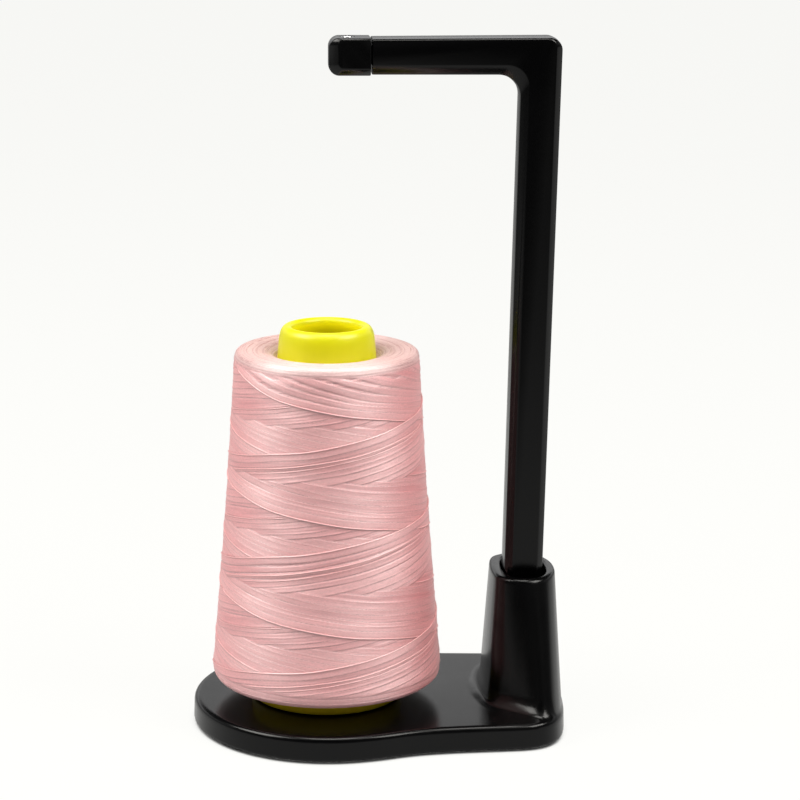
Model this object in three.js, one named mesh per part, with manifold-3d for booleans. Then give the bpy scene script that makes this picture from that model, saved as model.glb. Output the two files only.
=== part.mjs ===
// Thread cone stand: a moulded base with an upright L-shaped arm over a cone of
// sewing thread. Millimetres, +Z up. The origin is at the bottom centre of the
// whole object, +X runs from the cone towards the socket that holds the arm.

import * as THREE from 'three';
import { mergeVertices } from 'three/addons/utils/BufferGeometryUtils.js';
import Module from 'manifold-3d';

const wasm = await Module();
wasm.setup();

// ---------------------------------------------------------------- dimensions
const CONE_X = -15.4;          // axis of the spool pin, the seat and the cone
const FOOT_PROUD = 0.85;       // rubber pads stand this far below the shell
const PLATE_TOP = 7.7;         // top face of the base plate
const DISC_X = -14.6;          // centre of the round end of the base
const DISC_R = 39.9;           // radius of the round end of the base
const WALL = 2.2;              // wall of the base shell
const PLATE_SKIN = 2.3;        // thickness of the plate under its top face
const BOSS_TOP = 45.4;         // rim of the arm socket
const SOCKET_X = 42.0;         // centre of the socket's hole
const SOCKET_HX = 6.4;         // half width of the hole along X
const SOCKET_HY = 11.7;        // half width of the hole along Y
const SOCKET_FLOOR = 8.0;      // bottom of the hole
const COVER_TOP = 2.8;         // the cover lies between FOOT_PROUD and this

const POLE_X0 = 41.19;         // centre of the pole at z = 0 on its leaning line
const POLE_LEAN = 0.01657;     // outward lean of the pole, dx per dz
const POLE_HL = 5.95;          // pole's left face from its leaning line
const POLE_HW = 5.6;           // pole's right face from it at z = 120
const POLE_FLARE = 0.0015;     // what the right face gains per mm of height
const ARM_HD = 6.0;            // half depth of pole and arm along Y
const POLE_CH = 2.0;           // corner chamfers of the pole
const ARM_BOTTOM = 189.0;      // underside of the arm
const ARM_TOP_L = 199.25;      // top of the arm at the cap
const ARM_TOP_R = 199.65;      // top of the arm at the corner
const ARM_CH = 2.9;            // chamfer under the arm
const TOP_CH = 0.5;            // chamfer along the arm's top
const INNER_R = 6.0;           // radius inside the corner
const OUTER_R = 3.8;           // radius outside the corner
const ARM_END = -3.0;          // arm's own end, where the cap starts
const FOOT_TOP = 39.8;         // shoulder of the arm's foot, below the rim

const CAP_L = -15.1;           // tip of the end cap
const CAP_R = -3.35;           // open end of the end cap
const CAP_PROUD = 0.2;         // the cap stands proud of the arm by this
const EYELET_X = -9.8;         // thread guide hole
const EYELET_R = 2.0;

const PIN_R = 2.75;
const PIN_TOP = 66.0;
const SEAT_TOP = 44.0;

const CORE_BOTTOM = 8.0;
const CORE_TOP = 117.7;
const CORE_R0 = 22.15;         // outer radius at the bottom
const CORE_SLOPE = 0.0796;     // radius lost per mm of height
const CORE_WALL = 1.7;
const THREAD_BOTTOM = 13.6;

// ------------------------------------------------------------------ helpers
const V2 = (x, y) => new THREE.Vector2(x, y);
const V3 = (x, y, z) => new THREE.Vector3(x, y, z);

// A closed solid from any closed three.js geometry.
function solid(geometry) {
  let g = geometry.clone();
  g.deleteAttribute('normal');
  g.deleteAttribute('uv');
  g = mergeVertices(g, 1e-4);
  const p = g.attributes.position.array;
  const src = g.index.array;
  const tri = [];
  for (let i = 0; i < src.length; i += 3) {
    const [a, b, c] = [src[i], src[i + 1], src[i + 2]];
    if (a !== b && b !== c && a !== c) tri.push(a, b, c);
  }
  let vol = 0;
  for (let i = 0; i < tri.length; i += 3) {
    const [a, b, c] = [tri[i] * 3, tri[i + 1] * 3, tri[i + 2] * 3];
    vol += p[a] * (p[b + 1] * p[c + 2] - p[b + 2] * p[c + 1])
      - p[a + 1] * (p[b] * p[c + 2] - p[b + 2] * p[c])
      + p[a + 2] * (p[b] * p[c + 1] - p[b + 1] * p[c]);
  }
  if (vol < 0) {
    for (let i = 0; i < tri.length; i += 3) [tri[i + 1], tri[i + 2]] = [tri[i + 2], tri[i + 1]];
  }
  return new wasm.Manifold(new wasm.Mesh({
    numProp: 3,
    vertProperties: new Float32Array(p),
    triVerts: new Uint32Array(tri),
  }));
}

function geometryOf(s) {
  const m = s.getMesh();
  const g = new THREE.BufferGeometry();
  g.setAttribute('position', new THREE.BufferAttribute(new Float32Array(m.vertProperties), 3));
  g.setIndex(new THREE.BufferAttribute(new Uint32Array(m.triVerts), 1));
  g.computeVertexNormals();
  return g;
}

// A skin over a row of closed rings with equal point counts, capped at both
// ends. The caps are triangulated in the plane named by `plane`.
function loft(rings, plane = 'xy') {
  const n = rings[0].length;
  const pos = [];
  rings.forEach((r) => r.forEach((q) => pos.push(q.x, q.y, q.z)));
  const idx = [];
  for (let k = 0; k + 1 < rings.length; k++) {
    for (let i = 0; i < n; i++) {
      const j = (i + 1) % n;
      const a = k * n + i, b = k * n + j, c = (k + 1) * n + j, d = (k + 1) * n + i;
      idx.push(a, b, c, a, c, d);
    }
  }
  const flat = (q) => (plane === 'xy' ? V2(q.x, q.y) : V2(q.x, q.z));
  const cap = (k, flip) => {
    const ring = rings[k].map(flat);
    const cw = THREE.ShapeUtils.isClockWise(ring);
    const order = ring.map((_, i) => i);
    if (cw) { ring.reverse(); order.reverse(); }
    for (const f of THREE.ShapeUtils.triangulateShape(ring, [])) {
      const t = f.map((v) => k * n + order[v]);
      if (flip !== cw) idx.push(t[2], t[1], t[0]); else idx.push(t[0], t[1], t[2]);
    }
  };
  cap(0, true);
  cap(rings.length - 1, false);
  const g = new THREE.BufferGeometry();
  g.setAttribute('position', new THREE.Float32BufferAttribute(pos, 3));
  g.setIndex(idx);
  return g;
}

// A solid of revolution about a vertical axis at (x, y): profile of [r, z].
function lathe(profile, x = 0, y = 0, seg = 40) {
  const g = new THREE.LatheGeometry(profile.map(([r, z]) => V2(r, z)), seg);
  g.rotateX(Math.PI / 2);
  g.translate(x, y, 0);
  return solid(g);
}

function cyl(r, z0, z1, x, y, seg = 20) {
  return lathe([[0, z0], [r, z0], [r, z1], [0, z1]], x, y, seg);
}

function box(x0, x1, y0, y1, z0, z1) {
  const g = new THREE.BoxGeometry(x1 - x0, y1 - y0, z1 - z0);
  g.translate((x0 + x1) / 2, (y0 + y1) / 2, (z0 + z1) / 2);
  return solid(g);
}

// Mirrors a half outline (from -X end to +X end on the -Y side) about the X axis.
function mirrored(half) {
  const back = half.slice(1, -1).reverse().map((q) => V2(q.x, -q.y));
  return half.concat(back);
}

// Moves every point of a closed outline inwards along its normal.
function inset(outline, d) {
  const n = outline.length;
  return outline.map((q, i) => {
    const a = outline[(i + n - 1) % n], b = outline[(i + 1) % n];
    const t = b.clone().sub(a).normalize();
    return V2(q.x - t.y * d, q.y + t.x * d);
  });
}

const atHeight = (outline, z) => outline.map((q) => V3(q.x, q.y, z));

function resample(points, n) {
  const c = new THREE.CatmullRomCurve3(points.map((q) => V3(q[0], q[1], 0)), false, 'centripetal');
  const out = [];
  for (let i = 0; i <= n; i++) {
    const q = c.getPoint(i / n);
    out.push(V2(q.x, q.y));
  }
  return out;
}

function arc(cx, cz, r, a0, a1, n) {
  const out = [];
  for (let i = 0; i <= n; i++) {
    const a = THREE.MathUtils.degToRad(a0 + ((a1 - a0) * i) / n);
    out.push([cx + r * Math.cos(a), cz + r * Math.sin(a)]);
  }
  return out;
}

// --------------------------------------------------------- outline of the base
const discHalf = [];
for (let i = 0; i <= 14; i++) {
  const a = THREE.MathUtils.degToRad(180 + (100 * i) / 14);
  discHalf.push(V2(DISC_X + DISC_R * Math.cos(a), DISC_R * Math.sin(a)));
}
const neckAndEnd = resample([
  [discHalf[14].x, discHalf[14].y],
  [-2.9, -38.3], [1.1, -37.15], [4.8, -35.95], [8.6, -34.95], [12.6, -34.2],
  [17.6, -33.6], [24.6, -33.05], [32.6, -32.6], [39.1, -32.2], [43.2, -31.45],
  [46.6, -29.8], [49.4, -27.0], [51.6, -22.6], [52.95, -16.6], [53.65, -9.0], [53.9, 0],
], 24).slice(1);
neckAndEnd[neckAndEnd.length - 1].y = 0;
discHalf[0].y = 0;
const plateOutline = mirrored(discHalf.concat(neckAndEnd));

// ------------------------------------------------- outlines of the arm socket
// Matching points around the foot and the rim of the socket's tower.
const BOSS_RIM = [
  [32.4, 0], [32.6, -4.2], [33.1, -8.3], [33.9, -10.5], [35.4, -12.0], [37.6, -13.3], [40.0, -14.0],
  [42.0, -14.1], [44.8, -13.35], [47.5, -11.4], [49.4, -8.6], [50.5, -5.7], [51.05, -2.8], [51.15, 0]];
const BOSS_LOW = [
  [30.0, 0], [30.15, -5], [30.6, -9.5], [31.4, -13.5], [33.2, -16.6], [35.8, -19.2], [39.2, -22.3],
  [42.6, -25.4], [45.2, -27.2], [48.3, -25.9], [50.6, -21.8], [52.2, -15.8], [53.0, -8.3], [53.35, 0]];
const BOSS_FOOT = [
  [27.9, 0], [28.1, -5], [28.9, -9.5], [30.2, -15.0], [32.7, -20.4], [36.5, -25.4], [40.3, -29.6],
  [43.6, -30.6], [46.5, -29.2], [48.9, -26.6], [50.8, -22.3], [52.25, -16.2], [53.0, -8.6], [53.35, 0]];
const FLARE = 5;               // height of the curve at the tower's foot
const bossRim = resample(BOSS_RIM, 28);
const bossLow = resample(BOSS_LOW, 28);
const bossFoot = resample(BOSS_FOOT, 28);
function bossOutline(z) {
  const t = THREE.MathUtils.clamp((BOSS_TOP - z) / (BOSS_TOP - PLATE_TOP), 0, 1);
  const u = THREE.MathUtils.clamp((PLATE_TOP + FLARE - z) / FLARE, 0, 1);
  const w = 1 - Math.sqrt(1 - u * u);
  const half = bossRim.map((q, i) => q.clone().lerp(bossLow[i], t)
    .add(bossFoot[i].clone().sub(bossLow[i]).multiplyScalar(w)));
  half[0].y = 0;
  half[half.length - 1].y = 0;
  return mirrored(half);
}

// The socket's hole and the arm's foot are the same rounded oblong.
function oblong(hx, hy, n = 28) {
  const out = [];
  for (let i = 0; i < n; i++) {
    const a = (2 * Math.PI * i) / n;
    const c = Math.cos(a), s = Math.sin(a);
    out.push(V2(SOCKET_X + hx * Math.sign(c) * Math.abs(c) ** (2 / 2.6),
      hy * Math.sign(s) * Math.abs(s) ** (2 / 2.6)));
  }
  return out;
}

// ------------------------------------------------------------------ base shell
const SCREWS = [[-47.4, 0], [-14.3, -32.6], [-14.3, 32.6], [20.5, -25.5], [20.5, 25.5], [48.0, 0]];
const PADS = [[-37.0, -19.0], [-37.0, 19.0], [37.0, -22.0], [37.0, 22.0]];

const plateSolid = solid(loft([
  atHeight(inset(plateOutline, 0.2), FOOT_PROUD),
  atHeight(plateOutline, FOOT_PROUD + 0.2),
  atHeight(inset(plateOutline, 0.2), PLATE_TOP - 1.5),
  atHeight(inset(plateOutline, 0.65), PLATE_TOP - 0.44),
  atHeight(inset(plateOutline, 1.6), PLATE_TOP),
]));
const bossSolid = solid(loft([
  atHeight(inset(bossOutline(PLATE_TOP), 0.3), 2.0),
  atHeight(inset(bossOutline(PLATE_TOP), 0.1), PLATE_TOP),
  atHeight(bossOutline(8.4), 8.4),
  atHeight(bossOutline(9.4), 9.4),
  atHeight(bossOutline(10.8), 10.8),
  atHeight(bossOutline(12.7), 12.7),
  atHeight(bossOutline(26), 26),
  atHeight(bossOutline(BOSS_TOP - 0.9), BOSS_TOP - 0.9),
  atHeight(inset(bossOutline(BOSS_TOP), 0.3), BOSS_TOP - 0.25),
  atHeight(inset(bossOutline(BOSS_TOP), 0.95), BOSS_TOP),
]));
const plateCavity = solid(loft([
  atHeight(inset(plateOutline, WALL), -2),
  atHeight(inset(plateOutline, WALL), PLATE_TOP - PLATE_SKIN),
]));
const bossCavity = solid(loft([
  atHeight(inset(bossOutline(12.7), WALL + 0.2), 4),
  atHeight(inset(bossOutline(12.7), WALL + 0.2), 12.7),
  atHeight(inset(bossOutline(43), WALL + 0.2), 43),
])).subtract(box(20, 60, -13.9, 13.9, 6.2, 60));
const socketHole = solid(loft([
  atHeight(oblong(SOCKET_HX, SOCKET_HY), SOCKET_FLOOR),
  atHeight(oblong(SOCKET_HX, SOCKET_HY), BOSS_TOP - 0.5),
  atHeight(oblong(SOCKET_HX + 0.5, SOCKET_HY + 0.5), BOSS_TOP),
  atHeight(oblong(SOCKET_HX + 0.9, SOCKET_HY + 0.9), BOSS_TOP + 0.6),
]));

let shell = plateSolid.add(bossSolid).subtract(plateCavity).subtract(bossCavity).subtract(socketHole);
// two stiffening ribs from the disc to the socket, notched over the cover
for (const y of [-12.5, 12.5]) {
  shell = shell.add(box(-8, 26, y - 0.9, y + 0.9, COVER_TOP + 0.3, PLATE_TOP - 1));
}
// a ring rib round the pin and the screw pillars
shell = shell.add(lathe([[7.2, COVER_TOP + 0.3], [8.8, COVER_TOP + 0.3], [8.8, PLATE_TOP - 1], [7.2, PLATE_TOP - 1], [7.2, COVER_TOP + 0.3]], CONE_X, 0, 32));
for (const [x, y] of SCREWS) {
  shell = shell.add(cyl(2.9, COVER_TOP + 0.1, PLATE_TOP - 1, x, y));
}
for (const [x, y] of SCREWS) {
  shell = shell.subtract(cyl(1.25, 0, 6.4, x, y, 14));
}
shell = shell.subtract(cyl(2.4, 0, 12, CONE_X, 0, 24));

// ---------------------------------------------------------------- bottom cover
let cover = solid(loft([
  atHeight(inset(plateOutline, WALL + 0.3), FOOT_PROUD),
  atHeight(inset(plateOutline, WALL + 0.3), COVER_TOP),
]));
for (const [x, y] of SCREWS) {
  cover = cover.subtract(cyl(1.4, 0, 4, x, y, 14)).subtract(cyl(2.5, 0, 1.9, x, y, 18));
}
for (const [x, y] of PADS) cover = cover.subtract(cyl(6.3, 0, FOOT_PROUD + 0.9, x, y, 28));

const screwSolid = (x, y) => lathe([
  [0, 0.95], [1.7, 0.95], [2.1, 1.25], [2.1, 1.75], [1.1, 1.75], [1.1, 5.7], [0.5, 6.2], [0, 6.2],
], x, y, 14).subtract(box(x - 1.4, x + 1.4, y - 0.22, y + 0.22, 0.7, 1.4))
  .subtract(box(x - 0.22, x + 0.22, y - 1.4, y + 1.4, 0.7, 1.4));
const padSolid = (x, y) => lathe([
  [0, 0], [5.4, 0], [6.0, 0.5], [6.0, FOOT_PROUD + 0.8], [0, FOOT_PROUD + 0.8]], x, y, 28);

// ---------------------------------------------------- spool pin and cone seat
const pinSolid = lathe([
  [1.3, 5.45], [2.2, 5.45], [2.2, PLATE_TOP + 0.1], [5.2, PLATE_TOP + 0.1], [5.2, PLATE_TOP + 1.1],
  [4.9, PLATE_TOP + 1.3], [PIN_R, PLATE_TOP + 1.3], [PIN_R, PIN_TOP - 2.2], [2.0, PIN_TOP - 0.7],
  [0.9, PIN_TOP], [0, PIN_TOP], [0, 16], [1.3, 15.2], [1.3, 5.45]], CONE_X, 0, 24);
const washerSolid = lathe([[1.5, 4.85], [4.2, 4.85], [4.2, 5.3], [1.5, 5.3], [1.5, 4.85]], CONE_X, 0, 24);
const pinScrewSolid = lathe([
  [0, 3.15], [2.1, 3.15], [2.7, 3.6], [2.7, 4.75], [1.15, 4.75], [1.15, 13.6], [0.5, 14.3], [0, 14.3],
], CONE_X, 0, 18).subtract(box(CONE_X - 1.7, CONE_X + 1.7, -0.3, 0.3, 3, 3.9))
  .subtract(box(CONE_X - 0.3, CONE_X + 0.3, -1.7, 1.7, 3, 3.9));

const coreOuter = (z) => CORE_R0 - CORE_SLOPE * (z - CORE_BOTTOM);
const seatR = (z) => coreOuter(z) - CORE_WALL - 0.45;
let seat = lathe([
  [3.0, 9.3], [seatR(9.3) - 0.6, 9.3], [seatR(9.9), 9.9], [seatR(11.3), 11.3], [4.8, 11.3],
  [4.4, SEAT_TOP + 2], [3.0, SEAT_TOP + 2], [3.0, 9.3]], CONE_X, 0, 36);
for (let k = 0; k < 6; k++) {
  const fin = new THREE.ExtrudeGeometry(new THREE.Shape([
    V2(3.9, 10.6), V2(seatR(11), 10.6), V2(seatR(38), 38), V2(seatR(SEAT_TOP) - 2.5, SEAT_TOP), V2(3.7, SEAT_TOP)]),
  { depth: 1.6, bevelEnabled: false, steps: 1 });
  fin.translate(0, 0, -0.8);
  fin.rotateX(Math.PI / 2);
  fin.rotateZ((k * Math.PI) / 3 + Math.PI / 6);
  fin.translate(CONE_X, 0, 0);
  seat = seat.add(solid(fin));
}
seat = seat.subtract(cyl(3.0, 5, 60, CONE_X, 0, 36));

// ------------------------------------------------------- thread cone: the core
const coreSolid = lathe([
  [coreOuter(8.0) - CORE_WALL, CORE_BOTTOM], [coreOuter(8.0) - 0.5, CORE_BOTTOM], [coreOuter(8.5), CORE_BOTTOM + 0.5],
  [coreOuter(60), 60], [coreOuter(109.2), 109.2], [13.85, 112.2], [13.5, 115.0], [13.1, 116.3], [12.4, 117.25],
  [11.5, CORE_TOP], [10.6, 117.5], [10.05, 116.9], [9.85, 115.9], [10.2, 113.6], [coreOuter(110) - CORE_WALL - 0.6, 111.2],
  [coreOuter(107) - CORE_WALL, 107], [coreOuter(60) - CORE_WALL, 60],
  [coreOuter(8.0) - CORE_WALL, CORE_BOTTOM]], CONE_X, 0, 48);

// ----------------------------------------------------- thread cone: the thread
const gap = 0.12;
const threadSolid = lathe([
  [coreOuter(THREAD_BOTTOM) + gap, THREAD_BOTTOM], [30.6, THREAD_BOTTOM], [32.0, 14.0], [32.9, 15.1], [33.2, 16.7],
  [32.95, 20.8], [31.85, 34], [30.35, 52], [28.85, 71], [27.75, 88], [26.95, 100], [26.5, 107.6],
  [26.42, 108.9], [26.1, 109.85], [25.5, 110.4], [24.6, 110.6], [20.0, 110.5], [17.0, 110.1], [15.4, 109.3],
  [coreOuter(108.2) + gap, 108.2],
  [coreOuter(60) + gap, 60], [coreOuter(THREAD_BOTTOM) + gap, THREAD_BOTTOM]], CONE_X, 0, 48);

// ------------------------------------------------------------------ pole and arm
// Outline of the L in the XZ plane, twice: its silhouette, and the edge of its
// flat front, with the depth of the chamfer between the two at each point.
const poleX = (z) => POLE_X0 + POLE_LEAN * z;
const poleR = (z) => poleX(z) + POLE_HW + POLE_FLARE * (z - 120);
function armRings() {
  const A = [], B = [], C = [];
  const put = (a, b, c) => { A.push(a); B.push(b); C.push(c); };
  put([ARM_END, ARM_BOTTOM], [ARM_END, ARM_BOTTOM + ARM_CH], ARM_CH);
  const xi = poleX(183) - POLE_HL;
  const a1 = arc(xi - INNER_R, ARM_BOTTOM - INNER_R, INNER_R, 90, 0, 8);
  const b1 = arc(xi + POLE_CH + 0.35 - INNER_R, ARM_BOTTOM + ARM_CH - INNER_R, INNER_R, 90, 0, 8);
  a1.forEach((q, i) => put(q, b1[i], THREE.MathUtils.lerp(ARM_CH, POLE_CH, i / 8)));
  const zb = 38.5;
  put([poleX(zb) - POLE_HL, zb], [poleX(zb) - POLE_HL + POLE_CH + 0.35, zb], POLE_CH);
  put([poleR(zb), zb], [poleR(zb) - POLE_CH, zb], POLE_CH);
  const xo = poleR(ARM_TOP_R - OUTER_R);
  const rb = 2.3;
  const a2 = arc(xo - OUTER_R, ARM_TOP_R - OUTER_R, OUTER_R, 0, 90, 6);
  const b2 = arc(xo - POLE_CH - rb, ARM_TOP_R - TOP_CH - rb, rb, 0, 90, 6);
  a2.forEach((q, i) => put(q, b2[i], THREE.MathUtils.lerp(POLE_CH, TOP_CH, i / 6)));
  put([ARM_END, ARM_TOP_L], [ARM_END, ARM_TOP_L - TOP_CH], TOP_CH);
  return [A, B, C];
}
function chamferedPlate([A, B, C], hd) {
  return loft([
    B.map(([x, z]) => V3(x, -hd, z)),
    A.map(([x, z], i) => V3(x, -hd + C[i], z)),
    A.map(([x, z], i) => V3(x, hd - C[i], z)),
    B.map(([x, z]) => V3(x, hd, z)),
  ], 'xz');
}
const foot = solid(loft([
  atHeight(oblong(SOCKET_HX - 1.1, SOCKET_HY - 1.1), SOCKET_FLOOR + 0.3),
  atHeight(oblong(SOCKET_HX - 0.35, SOCKET_HY - 0.35), SOCKET_FLOOR + 1.3),
  atHeight(oblong(SOCKET_HX - 0.3, SOCKET_HY - 0.3), FOOT_TOP - 0.6),
  atHeight(oblong(SOCKET_HX - 0.9, SOCKET_HY - 0.9), FOOT_TOP),
]));
const spigotZ0 = 191.9, spigotZ1 = 197.4;
const armSolid = solid(chamferedPlate(armRings(), ARM_HD)).add(foot)
  .add(box(-6.3, ARM_END + 1, -3.6, 3.6, spigotZ0, spigotZ1));

// ---------------------------------------------------------- end cap and eyelet
function capRings() {
  const A = [], B = [], C = [];
  const put = (a, b, c) => { A.push(a); B.push(b); C.push(c); };
  const zb = ARM_BOTTOM - CAP_PROUD, zt = ARM_TOP_L + CAP_PROUD;
  const ra = 3.0, rb = 1.5, cl = 2.7, cb = 2.1, ct = 0.6;
  put([CAP_R, zb], [CAP_R, zb + cb], cb);
  put([CAP_R, zt], [CAP_R, zt - ct], ct);
  const a1 = arc(CAP_L + ra, zt - ra, ra, 90, 180, 5);
  const b1 = arc(CAP_L + cl + rb, zt - ct - rb, rb, 90, 180, 5);
  a1.forEach((q, i) => put(q, b1[i], THREE.MathUtils.lerp(ct, cl, i / 5)));
  const a2 = arc(CAP_L + ra, zb + ra, ra, 180, 270, 5);
  const b2 = arc(CAP_L + cl + rb, zb + cb + rb, rb, 180, 270, 5);
  a2.forEach((q, i) => put(q, b2[i], THREE.MathUtils.lerp(cl, cb, i / 5)));
  return [A, B, C];
}
const capSolid = solid(chamferedPlate(capRings(), ARM_HD + CAP_PROUD))
  .subtract(box(-6.6, 0, -3.9, 3.9, spigotZ0 - 0.3, spigotZ1 + 0.3))
  .subtract(cyl(EYELET_R + 0.15, 180, 210, EYELET_X, 0, 20));
const ez0 = ARM_BOTTOM - CAP_PROUD + 0.1, ez1 = ARM_TOP_L + CAP_PROUD - 0.1;
const eyeletSolid = lathe([
  [1.9, ez0], [EYELET_R, ez0 + 0.2], [EYELET_R, ez1 - 0.2], [1.9, ez1], [1.6, ez1], [1.3, ez1 - 0.5],
  [1.3, ez0 + 0.5], [1.6, ez0], [1.9, ez0]], EYELET_X, 0, 20);

// --------------------------------------------------------------------- assembly
const model = new THREE.Group();
const MATERIALS = {
  black: { color: 0x17171a, roughness: 0.32, metalness: 0.0 },
  cap: { color: 0x141416, roughness: 0.24, metalness: 0.0 },
  under: { color: 0x1d1d20, roughness: 0.55, metalness: 0.0 },
  rubber: { color: 0x222224, roughness: 0.85, metalness: 0.0 },
  steel: { color: 0xb9bcc0, roughness: 0.3, metalness: 1.0 },
  seat: { color: 0xe8e6de, roughness: 0.5, metalness: 0.0 },
  yellow: { color: 0xe4da1f, roughness: 0.4, metalness: 0.0 },
  pink: { color: 0xdc9ca4, roughness: 0.8, metalness: 0.0 },
};
function add(name, body, look) {
  const mesh = new THREE.Mesh(geometryOf(body), new THREE.MeshStandardMaterial(MATERIALS[look]));
  mesh.name = name;
  model.add(mesh);
}

add('base_shell', shell, 'black');
add('bottom_cover', cover, 'under');
SCREWS.forEach(([x, y], i) => add(`cover_screw_${i + 1}`, screwSolid(x, y), 'steel'));
PADS.forEach(([x, y], i) => add(`foot_pad_${i + 1}`, padSolid(x, y), 'rubber'));
add('spool_pin', pinSolid, 'black');
add('pin_washer', washerSolid, 'steel');
add('pin_screw', pinScrewSolid, 'steel');
add('cone_seat', seat, 'seat');
add('cone_core', coreSolid, 'yellow');
add('thread_winding', threadSolid, 'pink');
add('pole_arm', armSolid, 'black');
add('arm_end_cap', capSolid, 'cap');
add('thread_eyelet', eyeletSolid, 'steel');

export default model;
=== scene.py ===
import bpy, math
import numpy as np
from mathutils import Matrix, Vector


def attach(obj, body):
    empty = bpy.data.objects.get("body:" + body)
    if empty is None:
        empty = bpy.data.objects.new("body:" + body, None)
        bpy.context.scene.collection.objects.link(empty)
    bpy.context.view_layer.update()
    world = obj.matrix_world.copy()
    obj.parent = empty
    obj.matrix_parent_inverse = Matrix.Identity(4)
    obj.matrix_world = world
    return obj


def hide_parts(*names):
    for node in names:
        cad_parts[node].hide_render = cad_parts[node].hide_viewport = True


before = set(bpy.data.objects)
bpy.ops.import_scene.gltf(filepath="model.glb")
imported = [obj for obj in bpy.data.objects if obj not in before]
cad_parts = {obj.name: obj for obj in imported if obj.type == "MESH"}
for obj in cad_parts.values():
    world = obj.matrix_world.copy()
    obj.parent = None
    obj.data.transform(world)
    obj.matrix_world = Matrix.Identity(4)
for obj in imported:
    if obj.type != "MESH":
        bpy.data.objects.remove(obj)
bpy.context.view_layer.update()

MM = 0.001
# ------------------------------------------------------------------ dimensions
# Millimetres, the same frame as the CAD model.
CONE_X = -15.4
FOOT_PROUD, PLATE_TOP = 0.85, 7.7
DISC_X, DISC_R = -14.6, 39.9
WALL, PLATE_SKIN, COVER_TOP = 2.2, 2.3, 2.8
BOSS_TOP = 45.4
SOCKET_X, SOCKET_HX, SOCKET_HY, SOCKET_FLOOR = 42.0, 6.4, 11.7, 8.0
POLE_X0, POLE_LEAN, POLE_HL, POLE_HW, ARM_HD, POLE_CH = 41.19, 0.01657, 5.95, 5.6, 6.0, 2.0
POLE_CL = POLE_CH + 0.35
ARM_BOTTOM, ARM_TOP_L, ARM_TOP_R, ARM_CH, TOP_CH = 189.0, 199.25, 199.65, 2.9, 0.5
INNER_R, OUTER_R, ARM_END, FOOT_TOP = 6.0, 3.8, -3.0, 39.8
CAP_L, CAP_R, CAP_PROUD, EYELET_X, EYELET_R = -15.1, -3.35, 0.2, -9.8, 2.0
PIN_R, PIN_TOP, SEAT_TOP = 2.75, 66.0, 44.0
CORE_BOTTOM, CORE_TOP, CORE_R0, CORE_SLOPE, CORE_WALL = 8.0, 117.7, 22.15, 0.0796, 1.7
SCREWS = [(-47.4, 0), (-14.3, -32.6), (-14.3, 32.6), (20.5, -25.5), (20.5, 25.5), (48.0, 0)]
PADS = [(-37.0, -19.0), (-37.0, 19.0), (37.0, -22.0), (37.0, 22.0)]


# ------------------------------------------------------------------ mesh helpers
def new_object(name, mesh):
    ob = bpy.data.objects.new(name, mesh)
    bpy.context.scene.collection.objects.link(ob)
    return ob


def mesh_of(name, verts_mm, faces, smooth=True):
    me = bpy.data.meshes.new(name)
    v = (np.asarray(verts_mm, float) * MM).tolist()
    f = faces.tolist() if isinstance(faces, np.ndarray) else faces
    me.from_pydata(v, [], f)
    me.update()
    if smooth:
        me.polygons.foreach_set("use_smooth", np.ones(len(me.polygons), bool))
    return me


def applied(ob, modifiers):
    """Adds the modifiers, applies them all and leaves a plain mesh."""
    for kind, settings in modifiers:
        m = ob.modifiers.new(kind.lower(), kind)
        for k, val in settings.items():
            setattr(m, k, val)
    bpy.context.view_layer.update()
    dg = bpy.context.evaluated_depsgraph_get()
    me = bpy.data.meshes.new_from_object(ob.evaluated_get(dg), preserve_all_data_layers=True, depsgraph=dg)
    old = ob.data
    ob.modifiers.clear()
    ob.data = me
    me.name = ob.name
    bpy.data.meshes.remove(old)
    return ob


def soft_edges(ob, width_mm, segments=3, angle=25):
    ob.data.polygons.foreach_set("use_smooth", np.ones(len(ob.data.polygons), bool))
    return applied(ob, [("BEVEL", {"width": width_mm * MM, "segments": segments, "limit_method": "ANGLE",
                                   "angle_limit": math.radians(angle), "harden_normals": True, "profile": 0.5})])


def combine(ob, other, operation):
    applied(ob, [("BOOLEAN", {"object": other, "operation": operation, "solver": "EXACT"})])
    bpy.data.objects.remove(other)
    ob.data.polygons.foreach_set("use_smooth", np.ones(len(ob.data.polygons), bool))
    ob.data.set_sharp_from_angle(angle=math.radians(24))
    return ob


def catmull(points, n):
    """Centripetal Catmull-Rom curve through the points, n + 1 samples."""
    p = np.asarray(points, float)
    last = len(p) - 1
    out = []
    for k in range(n + 1):
        t = last * k / n
        i = min(int(t), last - 1)
        w = t - i
        p1, p2 = p[i], p[i + 1]
        p0 = p[i - 1] if i > 0 else 2 * p[0] - p[1]
        p3 = p[i + 2] if i + 2 <= last else 2 * p[-1] - p[-2]
        d0, d1, d2 = (max(((b - a) ** 2).sum() ** 0.25, 1e-4) for a, b in ((p0, p1), (p1, p2), (p2, p3)))
        t1 = ((p1 - p0) / d0 - (p2 - p0) / (d0 + d1) + (p2 - p1) / d1) * d1
        t2 = ((p2 - p1) / d1 - (p3 - p1) / (d1 + d2) + (p3 - p2) / d2) * d1
        c2, c3 = -3 * p1 + 3 * p2 - 2 * t1 - t2, 2 * p1 - 2 * p2 + t1 + t2
        out.append(p1 + t1 * w + c2 * w * w + c3 * w ** 3)
    return np.array(out)


def mirrored(half):
    back = half[1:-1][::-1].copy()
    back[:, 1] *= -1
    return np.vstack([half, back])


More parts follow.
